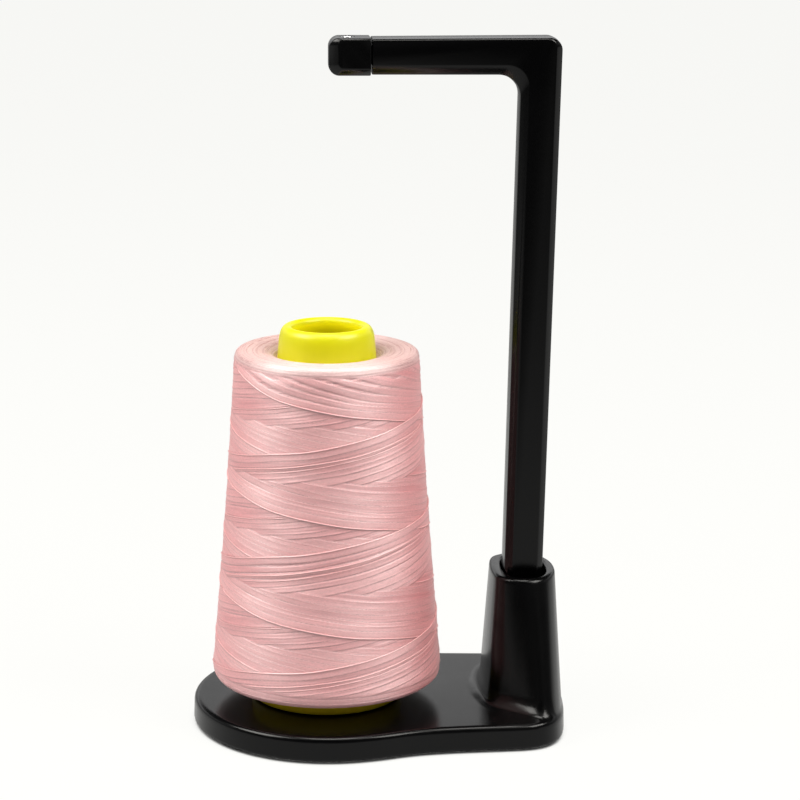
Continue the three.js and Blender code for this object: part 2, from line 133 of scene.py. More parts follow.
def polygon_distance(px, py, poly):
    """Signed distance to a closed polygon, negative inside."""
    shape = px.shape
    q = np.stack([px.ravel(), py.ravel()], 1).astype(np.float32)
    a = poly.astype(np.float32)
    b = np.roll(a, -1, 0)
    e = b - a
    ee = (e * e).sum(1)
    out = np.empty(len(q), np.float32)
    for s in range(0, len(q), 6000):
        w0 = q[s:s + 6000, None, 0] - a[None, :, 0]
        w1 = q[s:s + 6000, None, 1] - a[None, :, 1]
        t = np.clip((w0 * e[:, 0] + w1 * e[:, 1]) / ee, 0, 1)
        d = (w0 - t * e[:, 0]) ** 2 + (w1 - t * e[:, 1]) ** 2
        y = q[s:s + 6000, None, 1]
        up = (a[None, :, 1] <= y) & (b[None, :, 1] > y)
        down = (a[None, :, 1] > y) & (b[None, :, 1] <= y)
        side = e[:, 0] * w1 - e[:, 1] * w0
        wind = (up & (side > 0)).sum(1) - (down & (side < 0)).sum(1)
        out[s:s + 6000] = np.sqrt(d.min(1)) * np.where(wind != 0, -1, 1)
    return out.reshape(shape)


def both(a, b, r):
    """Intersection with its edge rounded to r."""
    u, v = np.maximum(a + r, 0), np.maximum(b + r, 0)
    return np.minimum(np.maximum(a, b), -r) + np.sqrt(u * u + v * v)


def either(a, b, r):
    """Union with its inner corner filled to r."""
    u, v = np.maximum(r - a, 0), np.maximum(r - b, 0)
    return np.maximum(np.minimum(a, b), r) - np.sqrt(u * u + v * v)


def sample(field, q):
    """Trilinear samples of field at grid coordinates q."""
    i = np.clip(np.floor(q).astype(int), 0, np.array(field.shape) - 2)
    f = q - i
    out = 0
    for dx in (0, 1):
        for dy in (0, 1):
            for dz in (0, 1):
                w = (f[:, 0] if dx else 1 - f[:, 0]) * (f[:, 1] if dy else 1 - f[:, 1]) * (f[:, 2] if dz else 1 - f[:, 2])
                out = out + w * field[i[:, 0] + dx, i[:, 1] + dy, i[:, 2] + dz]
    return out


def field_mesh(name, F, low, h):
    """A smooth closed mesh of the surface F = 0 on a grid of pitch h, by surface nets, with the field's own normals."""
    S = F < 0
    c = [S[dx:S.shape[0] - 1 + dx, dy:S.shape[1] - 1 + dy, dz:S.shape[2] - 1 + dz] for dx in (0, 1) for dy in (0, 1) for dz in (0, 1)]
    n_in = sum(x.astype(np.int8) for x in c)
    active = (n_in > 0) & (n_in < 8)
    idx = np.argwhere(active)
    number = np.full(active.shape, -1, np.int64)
    number[active] = np.arange(len(idx))
    corners = [(dx, dy, dz) for dx in (0, 1) for dy in (0, 1) for dz in (0, 1)]
    vals = np.stack([F[idx[:, 0] + a, idx[:, 1] + b, idx[:, 2] + g] for a, b, g in corners], 1)
    pos, cnt = np.zeros((len(idx), 3)), np.zeros(len(idx))
    for i, ca in enumerate(corners):
        for j, cb in enumerate(corners):
            if j > i and sum(abs(x - y) for x, y in zip(ca, cb)) == 1:
                va, vb = vals[:, i], vals[:, j]
                cross = (va < 0) != (vb < 0)
                t = np.where(cross, va / np.where(cross, va - vb, 1), 0)
                pt = np.array(ca) + t[:, None] * (np.array(cb) - np.array(ca))
                pos += np.where(cross[:, None], pt, 0)
                cnt += cross
    q = idx + pos / cnt[:, None]
    G = np.gradient(F, h)
    for _ in range(2):
        g = np.stack([sample(x, q) for x in G], 1)
        v = sample(F, q)
        step = v[:, None] * g / np.maximum((g * g).sum(1), 0.2)[:, None] / h
        q = q - np.clip(step, -0.4, 0.4)
    normals = np.stack([sample(x, q) for x in G], 1)
    normals /= np.maximum(np.linalg.norm(normals, axis=1), 1e-9)[:, None]
    quads = []
    for axis in range(3):
        a1, a2 = (axis + 1) % 3, (axis + 2) % 3
        sl0, sl1 = [slice(None)] * 3, [slice(None)] * 3
        sl0[axis], sl1[axis] = slice(0, -1), slice(1, None)
        s0, s1 = S[tuple(sl0)], S[tuple(sl1)]
        e = np.argwhere(s0 != s1)
        e = e[(e[:, a1] > 0) & (e[:, a2] > 0) & (e[:, a1] < S.shape[a1] - 1) & (e[:, a2] < S.shape[a2] - 1)]
        inside_first = s0[tuple(e.T)]
        ring = []
        for o1, o2 in ((-1, -1), (0, -1), (0, 0), (-1, 0)):
            k = e.copy()
            k[:, a1] += o1
            k[:, a2] += o2
            ring.append(number[tuple(k.T)])
        ring = np.stack(ring, 1)
        ring[~inside_first] = ring[~inside_first][:, ::-1]
        quads.append(ring)
    quads = np.vstack(quads)
    me = mesh_of(name, np.array(low) + q * h, quads)
    me.normals_split_custom_set_from_vertices(normals.tolist())
    return me


def lathe_mesh(name, profile, x=0.0, y=0.0, seg=96, smooth=True):
    """Closed body of revolution. A profile that starts and ends on the axis is capped there by fans."""
    p = np.asarray(profile, float)
    on_axis = p[0, 0] < 1e-9 and p[-1, 0] < 1e-9
    ang = np.linspace(0, 2 * np.pi, seg, endpoint=False)
    if on_axis:
        mid = p[1:-1]
    else:
        mid = p[:-1] if np.allclose(p[0], p[-1]) else p
    verts = [(x + r * c, y + r * s, z) for r, z in mid for c, s in zip(np.cos(ang), np.sin(ang))]
    n, faces = len(mid), []
    rows = n - 1 if on_axis else n
    for k in range(rows):
        k2 = (k + 1) % n
        for i in range(seg):
            j = (i + 1) % seg
            faces.append((k * seg + i, k * seg + j, k2 * seg + j, k2 * seg + i))
    if on_axis:
        b, t = len(verts), len(verts) + 1
        verts += [(x, y, p[0, 1]), (x, y, p[-1, 1])]
        for i in range(seg):
            j = (i + 1) % seg
            faces.append((b, j, i))
            faces.append((t, (n - 1) * seg + i, (n - 1) * seg + j))
    me = mesh_of(name, verts, faces, smooth)
    # faces out: the volume by the divergence theorem is positive
    me.calc_loop_triangles()
    co = np.array([v.co for v in me.vertices])
    tri = np.array([t.vertices for t in me.loop_triangles])
    vol = np.einsum("ij,ij->i", co[tri[:, 0]], np.cross(co[tri[:, 1]], co[tri[:, 2]])).sum()
    if vol < 0:
        me.flip_normals()
    return me


def round_profile(points, radii, n=5):
    """Replaces the corners of an open [r, z] line by arcs of the radii given, 0 for a sharp corner."""
    p = [np.array(q, float) for q in points]
    out = [p[0]]
    for i in range(1, len(p) - 1):
        r = radii[i]
        if r <= 0:
            out.append(p[i])
            continue
        u, v = p[i - 1] - p[i], p[i + 1] - p[i]
        lu, lv = np.linalg.norm(u), np.linalg.norm(v)
        u, v = u / lu, v / lv
        half = math.acos(max(-1, min(1, float(u @ v)))) / 2
        d = min(r / math.tan(half), 0.49 * lu, 0.49 * lv)
        a, b = p[i] + u * d, p[i] + v * d
        for k in range(n + 1):
            t = k / n
            out.append((1 - t) ** 2 * a + 2 * t * (1 - t) * p[i] + t * t * b)
    out.append(p[-1])
    return np.array(out)


# ------------------------------------------------------------------ materials
class Nodes:
    def __init__(self, name):
        self.mat = bpy.data.materials.new(name)
        self.mat.use_nodes = True
        self.t = self.mat.node_tree
        self.bsdf = self.t.nodes["Principled BSDF"]
        self.coord = self.t.nodes.new("ShaderNodeTexCoord")

    def set(self, **values):
        for k, v in values.items():
            self.bsdf.inputs[k.replace("_", " ")].default_value = v
        return self

    def link(self, a, b):
        self.t.links.new(a, b)

    def noise(self, scale, detail=3.0, rough=0.5, vector=None, distortion=0.0):
        n = self.t.nodes.new("ShaderNodeTexNoise")
        n.inputs["Scale"].default_value = scale
        n.inputs["Detail"].default_value = detail
        n.inputs["Roughness"].default_value = rough
        n.inputs["Distortion"].default_value = distortion
        self.link(vector if vector is not None else self.coord.outputs["Object"], n.inputs["Vector"])
        return n.outputs["Fac"]

    def scaled(self, scale, vector=None):
        n = self.t.nodes.new("ShaderNodeMapping")
        n.inputs["Scale"].default_value = scale
        self.link(vector if vector is not None else self.coord.outputs["Object"], n.inputs["Vector"])
        return n.outputs["Vector"]

    def span(self, value, a, b, c, d):
        n = self.t.nodes.new("ShaderNodeMapRange")
        for k, x in zip(("From Min", "From Max", "To Min", "To Max"), (a, b, c, d)):
            n.inputs[k].default_value = x
        self.link(value, n.inputs["Value"])
        return n.outputs["Result"]

    def math(self, op, a, b=None):
        n = self.t.nodes.new("ShaderNodeMath")
        n.operation = op
        for i, x in enumerate((a, b)):
            if x is None:
                continue
            if isinstance(x, (int, float)):
                n.inputs[i].default_value = x
            else:
                self.link(x, n.inputs[i])
        return n.outputs[0]

    def mix(self, factor, a, b):
        n = self.t.nodes.new("ShaderNodeMix")
        n.data_type = "RGBA"
        for k, x in (("Factor", factor), ("A", a), ("B", b)):
            s = [i for i in n.inputs if i.name == k and i.enabled][0] if k == "Factor" else [i for i in n.inputs if i.name == k and i.type == "RGBA"][0]
            if isinstance(x, (int, float)):
                s.default_value = x
            elif isinstance(x, tuple):
                s.default_value = (*x, 1.0)
            else:
                self.link(x, s)
        return [o for o in n.outputs if o.type == "RGBA"][0]

    def bump(self, height, strength, distance, normal=None):
        n = self.t.nodes.new("ShaderNodeBump")
        n.inputs["Strength"].default_value = strength
        n.inputs["Distance"].default_value = distance
        self.link(height, n.inputs["Height"])
        if normal is not None:
            self.link(normal, n.inputs["Normal"])
        return n.outputs["Normal"]

    def attribute(self, name):
        n = self.t.nodes.new("ShaderNodeAttribute")
        n.attribute_name = name
        return n


def moulded(name, dark, light, rough, spread, grain, specular, coat=0.0, coat_rough=0.15):
    """Moulded plastic: colour and gloss drift slowly, with a fine pitted grain from the tool."""
    m = Nodes(name)
    drift = m.noise(38.0, 4.0, 0.55)
    m.link(m.mix(m.span(drift, 0.35, 0.68, 0, 1), dark, light), m.bsdf.inputs["Base Color"])
    fine = m.noise(1400.0, 3.0, 0.6)
    m.link(m.math("ADD", m.span(drift, 0.3, 0.7, rough - spread, rough + spread), m.span(fine, 0.3, 0.7, -0.025, 0.025)),
           m.bsdf.inputs["Roughness"])
    coarse = m.noise(120.0, 3.0, 0.5)
    n1 = m.bump(fine, grain, 0.00004)
    m.link(m.bump(coarse, 0.05, 0.0002, n1), m.bsdf.inputs["Normal"])
    m.set(Specular_IOR_Level=specular)
    if coat:
        m.set(Coat_Weight=coat, Coat_Roughness=coat_rough)
    return m.mat


BLACK = moulded("black_plastic", (0.0005, 0.0005, 0.0006), (0.0011, 0.0011, 0.0012), 0.21, 0.02, 0.2, 0.22)
CAP = moulded("cap_plastic", (0.0006, 0.0006, 0.0007), (0.0013, 0.0013, 0.0014), 0.20, 0.02, 0.12, 0.24)
UNDER = moulded("cover_plastic", (0.012, 0.012, 0.013), (0.02, 0.02, 0.021), 0.5, 0.05, 0.5, 0.35)
RUBBER = moulded("pad_rubber", (0.02, 0.02, 0.021), (0.035, 0.035, 0.036), 0.8, 0.06, 0.6, 0.3)


def yellow_plastic():
    m = Nodes("yellow_plastic")
    drift = m.noise(60.0, 4.0, 0.55, m.scaled((1.0, 1.0, 0.35)))
    outer = m.mix(m.span(drift, 0.3, 0.7, 0, 1), (0.54, 0.53, 0.0008), (0.61, 0.595, 0.0020))
    # painted light: the bore and the lip are painted brighter, for the light that comes through the thin wall and fills
    # them
    pos = m.t.nodes.new("ShaderNodeTexCoord").outputs["Object"]
    flat = m.t.nodes.new("ShaderNodeSeparateXYZ")
    m.link(pos, flat.inputs["Vector"])
    dx = m.math("ADD", flat.outputs["X"], -CONE_X * MM)
    radius = m.math("SQRT", m.math("ADD", m.math("MULTIPLY", dx, dx), m.math("MULTIPLY", flat.outputs["Y"], flat.outputs["Y"])))
    painted_bore_light = m.math("MULTIPLY", m.span(radius, 0.0098, 0.0119, 1.0, 0.0), m.span(flat.outputs["Z"], 0.085, 0.100, 0.0, 1.0))
    painted_bore_light = m.math("MULTIPLY", painted_bore_light, m.span(flat.outputs["Z"], 0.1158, 0.1170, 1.0, 0.15))
    # painted shade: the foot, in shade under the thread, is painted a browner yellow
    outer = m.mix(m.span(flat.outputs["Z"], 0.0115, 0.0150, 0.85, 0.0), outer, (0.85, 0.63, 0.004))
    m.link(m.mix(painted_bore_light, outer, (0.98, 0.86, 0.0014)), m.bsdf.inputs["Base Color"])
    fine = m.noise(900.0, 3.0, 0.6)
    m.link(m.span(fine, 0.3, 0.7, 0.33, 0.42), m.bsdf.inputs["Roughness"])
    m.link(m.bump(fine, 0.12, 0.00004), m.bsdf.inputs["Normal"])
    m.set(Specular_IOR_Level=0.45, Subsurface_Weight=0.18, Subsurface_Radius=(0.002, 0.0016, 0.0002), Subsurface_Scale=1.0)
    return m.mat


def seat_plastic():
    m = Nodes("seat_plastic")
    drift = m.noise(70.0, 3.0)
    m.link(m.mix(m.span(drift, 0.3, 0.7, 0, 1), (0.74, 0.72, 0.66), (0.82, 0.80, 0.75)), m.bsdf.inputs["Base Color"])
    fine = m.noise(1100.0, 2.0)
    m.link(m.span(fine, 0.3, 0.7, 0.42, 0.55), m.bsdf.inputs["Roughness"])
    m.link(m.bump(fine, 0.2, 0.00004), m.bsdf.inputs["Normal"])
    m.set(Subsurface_Weight=0.15, Subsurface_Radius=(0.002, 0.002, 0.0016), Subsurface_Scale=1.0)
    return m.mat


def steel():
    m = Nodes("bright_steel")
    streak = m.noise(220.0, 4.0, 0.6, m.scaled((1.0, 1.0, 6.0)))
    m.link(m.mix(m.span(streak, 0.3, 0.7, 0, 1), (0.56, 0.57, 0.58), (0.72, 0.73, 0.74)), m.bsdf.inputs["Base Color"])
    m.link(m.span(streak, 0.3, 0.7, 0.18, 0.34), m.bsdf.inputs["Roughness"])
    m.link(m.bump(streak, 0.1, 0.00003), m.bsdf.inputs["Normal"])
    m.set(Metallic=1.0)
    return m.mat


def pink_thread():
    """Spun polyester thread. The mesh carries the lay of the strands on its corners: strand is x across them, y along
    them in millimetres and z the tone of the bundle; lay is the way to the bundle's two edges and a random number;
    cross points across the strands. shade is painted shade: the shadows painted beside the bundles' edges and the
    darkening painted into the hollows under their neighbours."""
    m = Nodes("pink_thread")

    def parts(name):
        sep = m.t.nodes.new("ShaderNodeSeparateXYZ")
        m.link(m.attribute(name).outputs["Vector"], sep.inputs["Vector"])
        return sep.outputs

    across, along, tone = parts("strand")
    lead, trail, chance = parts("lay")
    painted_shade_fac = m.attribute("shade").outputs["Fac"]

    def joined(x, y, z):
        n = m.t.nodes.new("ShaderNodeCombineXYZ")
        for i, q in enumerate((x, y, z)):
            m.link(q, n.inputs[i])
        return n.outputs[0]

    # single threads, a quarter of a millimetre apart, that wander a little
    wander = m.noise(1.0, 2.0, 0.5, joined(m.math("MULTIPLY", across, 0.8), m.math("MULTIPLY", along, 0.04), tone))
    wave = m.math("SINE", m.math("ADD", m.math("MULTIPLY", across, 25.6), m.math("MULTIPLY", wander, 12.0)))
    thread = m.span(wave, -1.0, 0.4, 0.0, 1.0)
    # the twist of the plies, slanting over each thread
    twist = m.math("SINE", m.math("ADD", m.math("MULTIPLY", along, 17.0), m.math("MULTIPLY", across, 21.0)))
    per_thread = m.noise(1.0, 2.0, 0.6, joined(m.math("MULTIPLY", across, 2.6), m.math("MULTIPLY", along, 0.06), tone))
    fuzz = m.noise(900.0, 3.0, 0.65)
    # short fibres and plies that break up each thread
    grain = m.noise(1.0, 3.0, 0.7, joined(m.math("MULTIPLY", across, 3.4), m.math("MULTIPLY", along, 1.1), chance))
    # the groove between two bundles, painted dark (painted shade), and the strand at the edge, painted lighter (painted
    # highlight)
    uneven = m.noise(1.0, 2.0, 0.5, joined(m.math("MULTIPLY", along, 0.09), chance, tone))
    groove = m.math("MULTIPLY", m.span(trail, 0.05, 0.22, 1.0, 0.0), m.span(uneven, 0.35, 0.62, 0.4, 1.0))
    painted_edge_highlight = m.math("MULTIPLY", m.span(lead, 0.22, 0.42, 1.0, 0.0), chance)
    base = m.mix(m.span(per_thread, 0.36, 0.64, 0, 1), LOW_PINK, MID_PINK)
    base = m.mix(m.math("MULTIPLY", tone, 0.55), base, LIGHT_TONE_AND_HIGHLIGHT_PINK)
    # painted highlight on the strand at each bundle's leading edge
    base = m.mix(m.math("MULTIPLY", painted_edge_highlight, 0.6), base, LIGHT_TONE_AND_HIGHLIGHT_PINK)
    # painted light: the top face and the raised strands are painted paler
    base = m.mix(m.math("MULTIPLY", m.attribute("painted_light").outputs["Fac"], 0.85), base, PAINTED_LIGHT_PINK)
    base = m.mix(m.span(grain, 0.34, 0.66, 0.36, 0.0), base, GRAIN_AND_SHADE_PINK)
    # painted shade in the gaps between the single threads
    base = m.mix(m.math("MULTIPLY", m.math("SUBTRACT", 1.0, thread), 0.2), base, GRAIN_AND_SHADE_PINK)
    # painted shade in the groove between two bundles
    base = m.mix(m.math("MULTIPLY", groove, 0.75), base, GRAIN_AND_SHADE_PINK)
    # painted shade: the painted shadows beside the bundles and in the hollows
    base = m.mix(m.math("MULTIPLY", painted_shade_fac, 0.95), base, GRAIN_AND_SHADE_PINK)
    m.link(base, m.bsdf.inputs["Base Color"])
    height = m.math("ADD", m.math("SUBTRACT", thread, m.math("MULTIPLY", groove, 1.3)), m.math("MULTIPLY", twist, 0.12))
    n1 = m.bump(height, 0.5, 0.00007)
    m.link(m.bump(fuzz, 0.35, 0.00008, n1), m.bsdf.inputs["Normal"])
    m.link(m.span(fuzz, 0.3, 0.7, 0.50, 0.60), m.bsdf.inputs["Roughness"])
    turned = m.t.nodes.new("ShaderNodeVectorTransform")
    turned.vector_type, turned.convert_from, turned.convert_to = "VECTOR", "OBJECT", "WORLD"
    m.link(m.attribute("cross").outputs["Vector"], turned.inputs[0])
    m.link(turned.outputs[0], m.bsdf.inputs["Tangent"])
    m.set(IOR=2.4, Specular_IOR_Level=1.0, Anisotropic=0.55, Sheen_Weight=0.25, Sheen_Roughness=0.45, Sheen_Tint=(1.0, 0.92, 0.90, 1.0))
    return m.mat


# the highest of the first three pinks serves the bundles' lighter tones and the painted edge highlight, the darkest the
# fibre grain and the painted shade; the pale pink below is painted light
LOW_PINK, MID_PINK, LIGHT_TONE_AND_HIGHLIGHT_PINK, GRAIN_AND_SHADE_PINK = (0.64, 0.150, 0.165), (0.88, 0.274, 0.285), (0.94, 0.41, 0.41), (0.30, 0.022, 0.030)
PAINTED_LIGHT_PINK = (0.64, 0.47, 0.435)
YELLOW, SEAT, STEEL, PINK = yellow_plastic(), seat_plastic(), steel(), pink_thread()


def finish_piece(ob, body, slot, mat, *nodes):
    ob.data.materials.clear()
    ob.data.materials.append(mat)
    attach(ob, body)
    if nodes:
        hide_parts(*nodes)
    return ob


# ------------------------------------------------------------------ base shell
ang = np.radians(np.linspace(180, 280, 121))
disc = np.stack([DISC_X + DISC_R * np.cos(ang), DISC_R * np.sin(ang)], 1)
end = catmull([tuple(disc[-1]), (-2.9, -38.3), (1.1, -37.15), (4.8, -35.95), (8.6, -34.95), (12.6, -34.2), (17.6, -33.6),
               (24.6, -33.05), (32.6, -32.6), (39.1, -32.2), (43.2, -31.45), (46.6, -29.8), (49.4, -27.0), (51.6, -22.6),
               (52.95, -16.6), (53.65, -9.0), (53.9, 0)], 200)[1:]
disc[0, 1] = 0
end[-1, 1] = 0
PLATE = mirrored(np.vstack([disc, end]))
# the tower on the foot: its rim, its straight walls carried down to the plate, and the curved flare at its foot
TOWER_RIM = catmull([(32.4, 0), (32.6, -4.2), (33.1, -8.3), (33.9, -10.5), (35.4, -12.0), (37.6, -13.3), (40.0, -14.0), (42.0, -14.1),
                     (44.8, -13.35), (47.5, -11.4), (49.4, -8.6), (50.5, -5.7), (51.05, -2.8), (51.15, 0)], 104)
TOWER_LOW = catmull([(30.0, 0), (30.15, -5), (30.6, -9.5), (31.4, -13.5), (33.2, -16.6), (35.8, -19.2), (39.2, -22.3), (42.6, -25.4),
                     (45.2, -27.2), (48.3, -25.9), (50.6, -21.8), (52.2, -15.8), (53.0, -8.3), (53.35, 0)], 104)
TOWER_FOOT = catmull([(27.9, 0), (28.1, -5), (28.9, -9.5), (30.2, -15.0), (32.7, -20.4), (36.5, -25.4), (40.3, -29.6), (43.6, -30.6),
                      (46.5, -29.2), (48.9, -26.6), (50.8, -22.3), (52.25, -16.2), (53.0, -8.6), (53.35, 0)], 104)
FLARE = 5.0


def oblong(hx, hy, n=160):
    t = np.linspace(0, 2 * np.pi, n, endpoint=False)
    c, s = np.cos(t), np.sin(t)
    e = 2 / 2.6
    return np.stack([SOCKET_X + hx * np.sign(c) * np.abs(c) ** e, hy * np.sign(s) * np.abs(s) ** e], 1)


def base_shell():
    h = 0.5
    low = np.array([-55.4, -41.0, -0.7])
    n = (223, 165, 96)
    X, Y, Z = (low[i] + h * np.arange(n[i]) for i in range(3))
    gx, gy = np.meshgrid(X, Y, indexing="ij")
    out2 = polygon_distance(gx, gy, PLATE)[:, :, None]
    z = Z[None, None, :].astype(np.float32)
    draft = 0.035 * np.clip(z - 1.0, 0, 6)
    plate = both(out2 + draft, z - PLATE_TOP, 1.45)
    plate = both(plate, FOOT_PROUD - z, 0.18)
    # the tower, straight walls over a curved foot
    i0, i1 = int((27 - low[0]) / h), n[0]
    tower = np.full(n, 9.0, np.float32)
    D = np.empty((i1 - i0, n[1], n[2]), np.float32)
    bx, by = gx[i0:i1], gy[i0:i1]
    for k, zk in enumerate(Z):
        t = np.clip((BOSS_TOP - zk) / (BOSS_TOP - PLATE_TOP), -0.08, 1)
        u = np.clip((PLATE_TOP + FLARE - zk) / FLARE, 0, 1)
        half = TOWER_RIM * (1 - t) + TOWER_LOW * t + (TOWER_FOOT - TOWER_LOW) * (1 - math.sqrt(1 - u * u))
        half[0, 1] = half[-1, 1] = 0
        D[:, :, k] = polygon_distance(bx, by, mirrored(half))
    slope = np.gradient(D, h, axis=2)
    D = D / np.sqrt(1 + slope ** 2)
    tower[i0:i1] = D
    tower = both(tower, z - BOSS_TOP, 0.95)
    tower = np.maximum(tower, 2.0 - z)
    fillet = np.clip(0.3 * (-out2) - 0.3, 0.25, 1.2)
    F = either(plate, tower, fillet)
    # hollow underneath: the plate's cavity, the tower's two pockets beside the socket block
    cavity = np.maximum(out2 + WALL, z - (PLATE_TOP - PLATE_SKIN))
    foot_in = np.full(n, 9.0, np.float32)
    foot_in[i0:i1] = D
    pocket = np.maximum(np.maximum(foot_in + WALL + 0.2, z - 42.5), 13.9 - np.abs(gy[:, :, None]))
    F = np.maximum(F, -np.minimum(cavity, pocket))
    # ribs, pillars and the ring round the pin, under the plate
    under = np.maximum(z - (PLATE_TOP - 1.0), COVER_TOP + 0.3 - z)
    ribs = np.maximum(np.abs(np.abs(gy) - 12.5) - 0.9, np.maximum(-8 - gx, gx - 26))[:, :, None]
    ring = (np.abs(np.hypot(gx - CONE_X, gy) - 8.0) - 0.8)[:, :, None]
    pillars = np.min([np.hypot(gx - sx, gy - sy) for sx, sy in SCREWS], 0)[:, :, None]
    F = np.minimum(F, np.maximum(np.minimum(np.minimum(ribs, ring), pillars - 2.9), under))
    F = np.maximum(F, np.minimum(pillars - 1.25, 9.0) * -1 + np.where(z > 6.4, 9.0, 0) * -1)
    F = both(F, -(np.hypot(gx - CONE_X, gy) - 2.4)[:, :, None] + 0 * z, 0.25)
    hole = np.full((n[0], n[1]), 9.0, np.float32)
    hole[i0:i1] = polygon_distance(bx, by, oblong(SOCKET_HX, SOCKET_HY))
    hole = np.maximum(hole[:, :, None], SOCKET_FLOOR - z)
    F = both(F, -hole, 0.55)
    return new_object("base_shell_moulding", field_mesh("base_shell_moulding", F.astype(np.float32), low, h))


finish_piece(base_shell(), "base", "black_plastic", BLACK, "base_shell")


# ------------------------------------------------------------------ pole and arm
def arc(cx, cz, r, a0, a1, n):
    a = np.radians(np.linspace(a0, a1, n + 1))
    return np.stack([cx + r * np.cos(a), cz + r * np.sin(a)], 1)


def pole_x(z):
    return POLE_X0 + POLE_LEAN * z


def pole_r(z):
    return pole_x(z) + POLE_HW + 0.0015 * (z - 120)


def arm_rings():
    A, B, C = [], [], []

    def put(a, b, c):
        A.append(a), B.append(b), C.append(c)

    put((ARM_END, ARM_BOTTOM), (ARM_END, ARM_BOTTOM + ARM_CH), ARM_CH)
    xi, n = pole_x(183) - POLE_HL, 22
    a1 = arc(xi - INNER_R, ARM_BOTTOM - INNER_R, INNER_R, 90, 0, n)
    b1 = arc(xi + POLE_CL - INNER_R, ARM_BOTTOM + ARM_CH - INNER_R, INNER_R, 90, 0, n)
    for i in range(n + 1):
        put(a1[i], b1[i], ARM_CH + (POLE_CH - ARM_CH) * i / n)
    zb = 38.5
    put((pole_x(zb) - POLE_HL, zb), (pole_x(zb) - POLE_HL + POLE_CL, zb), POLE_CH)
    put((pole_r(zb), zb), (pole_r(zb) - POLE_CH, zb), POLE_CH)
    xo, rb, n = pole_r(ARM_TOP_R - OUTER_R), 2.3, 16
    a2 = arc(xo - OUTER_R, ARM_TOP_R - OUTER_R, OUTER_R, 0, 90, n)
    b2 = arc(xo - POLE_CH - rb, ARM_TOP_R - TOP_CH - rb, rb, 0, 90, n)
    for i in range(n + 1):
        t = i / n
        put(a2[i], b2[i], POLE_CH + (TOP_CH - POLE_CH) * t)
    put((ARM_END, ARM_TOP_L), (ARM_END, ARM_TOP_L - TOP_CH), TOP_CH)
    return np.array(A), np.array(B), np.array(C)


def chamfered(name, rings, hd, draft_deg):
    """The L's rings through its depth. The mould parts at y = 0, so the sides fall away from there to the front and back."""
    A, B, C = rings
    n = len(A)
    slack = (hd - C) * math.tan(math.radians(draft_deg))
    inward = (B - A) / np.maximum(C, 1e-6)[:, None]
    A1 = A + inward * slack[:, None]
    layers = [(B, -hd + 0 * C), (A1, -hd + C), (A, 0 * C), (A1, hd - C), (B, hd + 0 * C)]
    verts = np.vstack([np.stack([q[:, 0], y, q[:, 1]], 1) for q, y in layers])
    faces = []
    for k in range(len(layers) - 1):
        for i in range(n):
            j = (i + 1) % n
            faces.append((k * n + i, k * n + j, (k + 1) * n + j, (k + 1) * n + i))
    faces.append(tuple(range(n))[::-1])
    faces.append(tuple((len(layers) - 1) * n + i for i in range(n)))
    me = mesh_of(name, verts, faces)
    me.calc_loop_triangles()
    co = np.array([v.co for v in me.vertices])
    tri = np.array([t.vertices for t in me.loop_triangles])
    if np.einsum("ij,ij->i", co[tri[:, 0]], np.cross(co[tri[:, 1]], co[tri[:, 2]])).sum() < 0:
        me.flip_normals()
    return new_object(name, me)


def block(name, x0, x1, y0, y1, z0, z1):
    v = [(x, y, z) for x in (x0, x1) for y in (y0, y1) for z in (z0, z1)]
    f = [(0, 1, 3, 2), (4, 6, 7, 5), (0, 4, 5, 1), (2, 3, 7, 6), (0, 2, 6, 4), (1, 5, 7, 3)]
    return new_object(name, mesh_of(name, v, f, False))


def stack(name, outlines):
    """Closed body through outlines [(xy points, z), ...] with equal point counts."""
    n = len(outlines[0][0])
    verts = np.vstack([np.column_stack([o, np.full(n, z)]) for o, z in outlines])
    faces = [(k * n + i, k * n + (i + 1) % n, (k + 1) * n + (i + 1) % n, (k + 1) * n + i)
             for k in range(len(outlines) - 1) for i in range(n)]
    faces += [tuple(range(n))[::-1], tuple((len(outlines) - 1) * n + i for i in range(n))]
    return new_object(name, mesh_of(name, verts, faces))


def pole_arm():
    arm = chamfered("pole_arm_moulding", arm_rings(), ARM_HD, 1.9)
    soft_edges(arm, 0.34, 3, 20)
    hx, hy = SOCKET_HX - 0.3, SOCKET_HY - 0.3
    foot = stack("foot", [(oblong(hx - 0.9, hy - 0.9, 72), SOCKET_FLOOR + 0.3), (oblong(hx - 0.25, hy - 0.25, 72), SOCKET_FLOOR + 0.9),
                          (oblong(hx, hy, 72), SOCKET_FLOOR + 1.8), (oblong(hx, hy, 72), FOOT_TOP - 0.8),
                          (oblong(hx - 0.2, hy - 0.2, 72), FOOT_TOP - 0.25), (oblong(hx - 0.7, hy - 0.7, 72), FOOT_TOP)])
    combine(arm, foot, "UNION")
    combine(arm, block("spigot", -6.3, ARM_END + 1, -3.6, 3.6, 191.9, 197.4), "UNION")
    return arm


finish_piece(pole_arm(), "arm", "black_plastic", BLACK, "pole_arm")


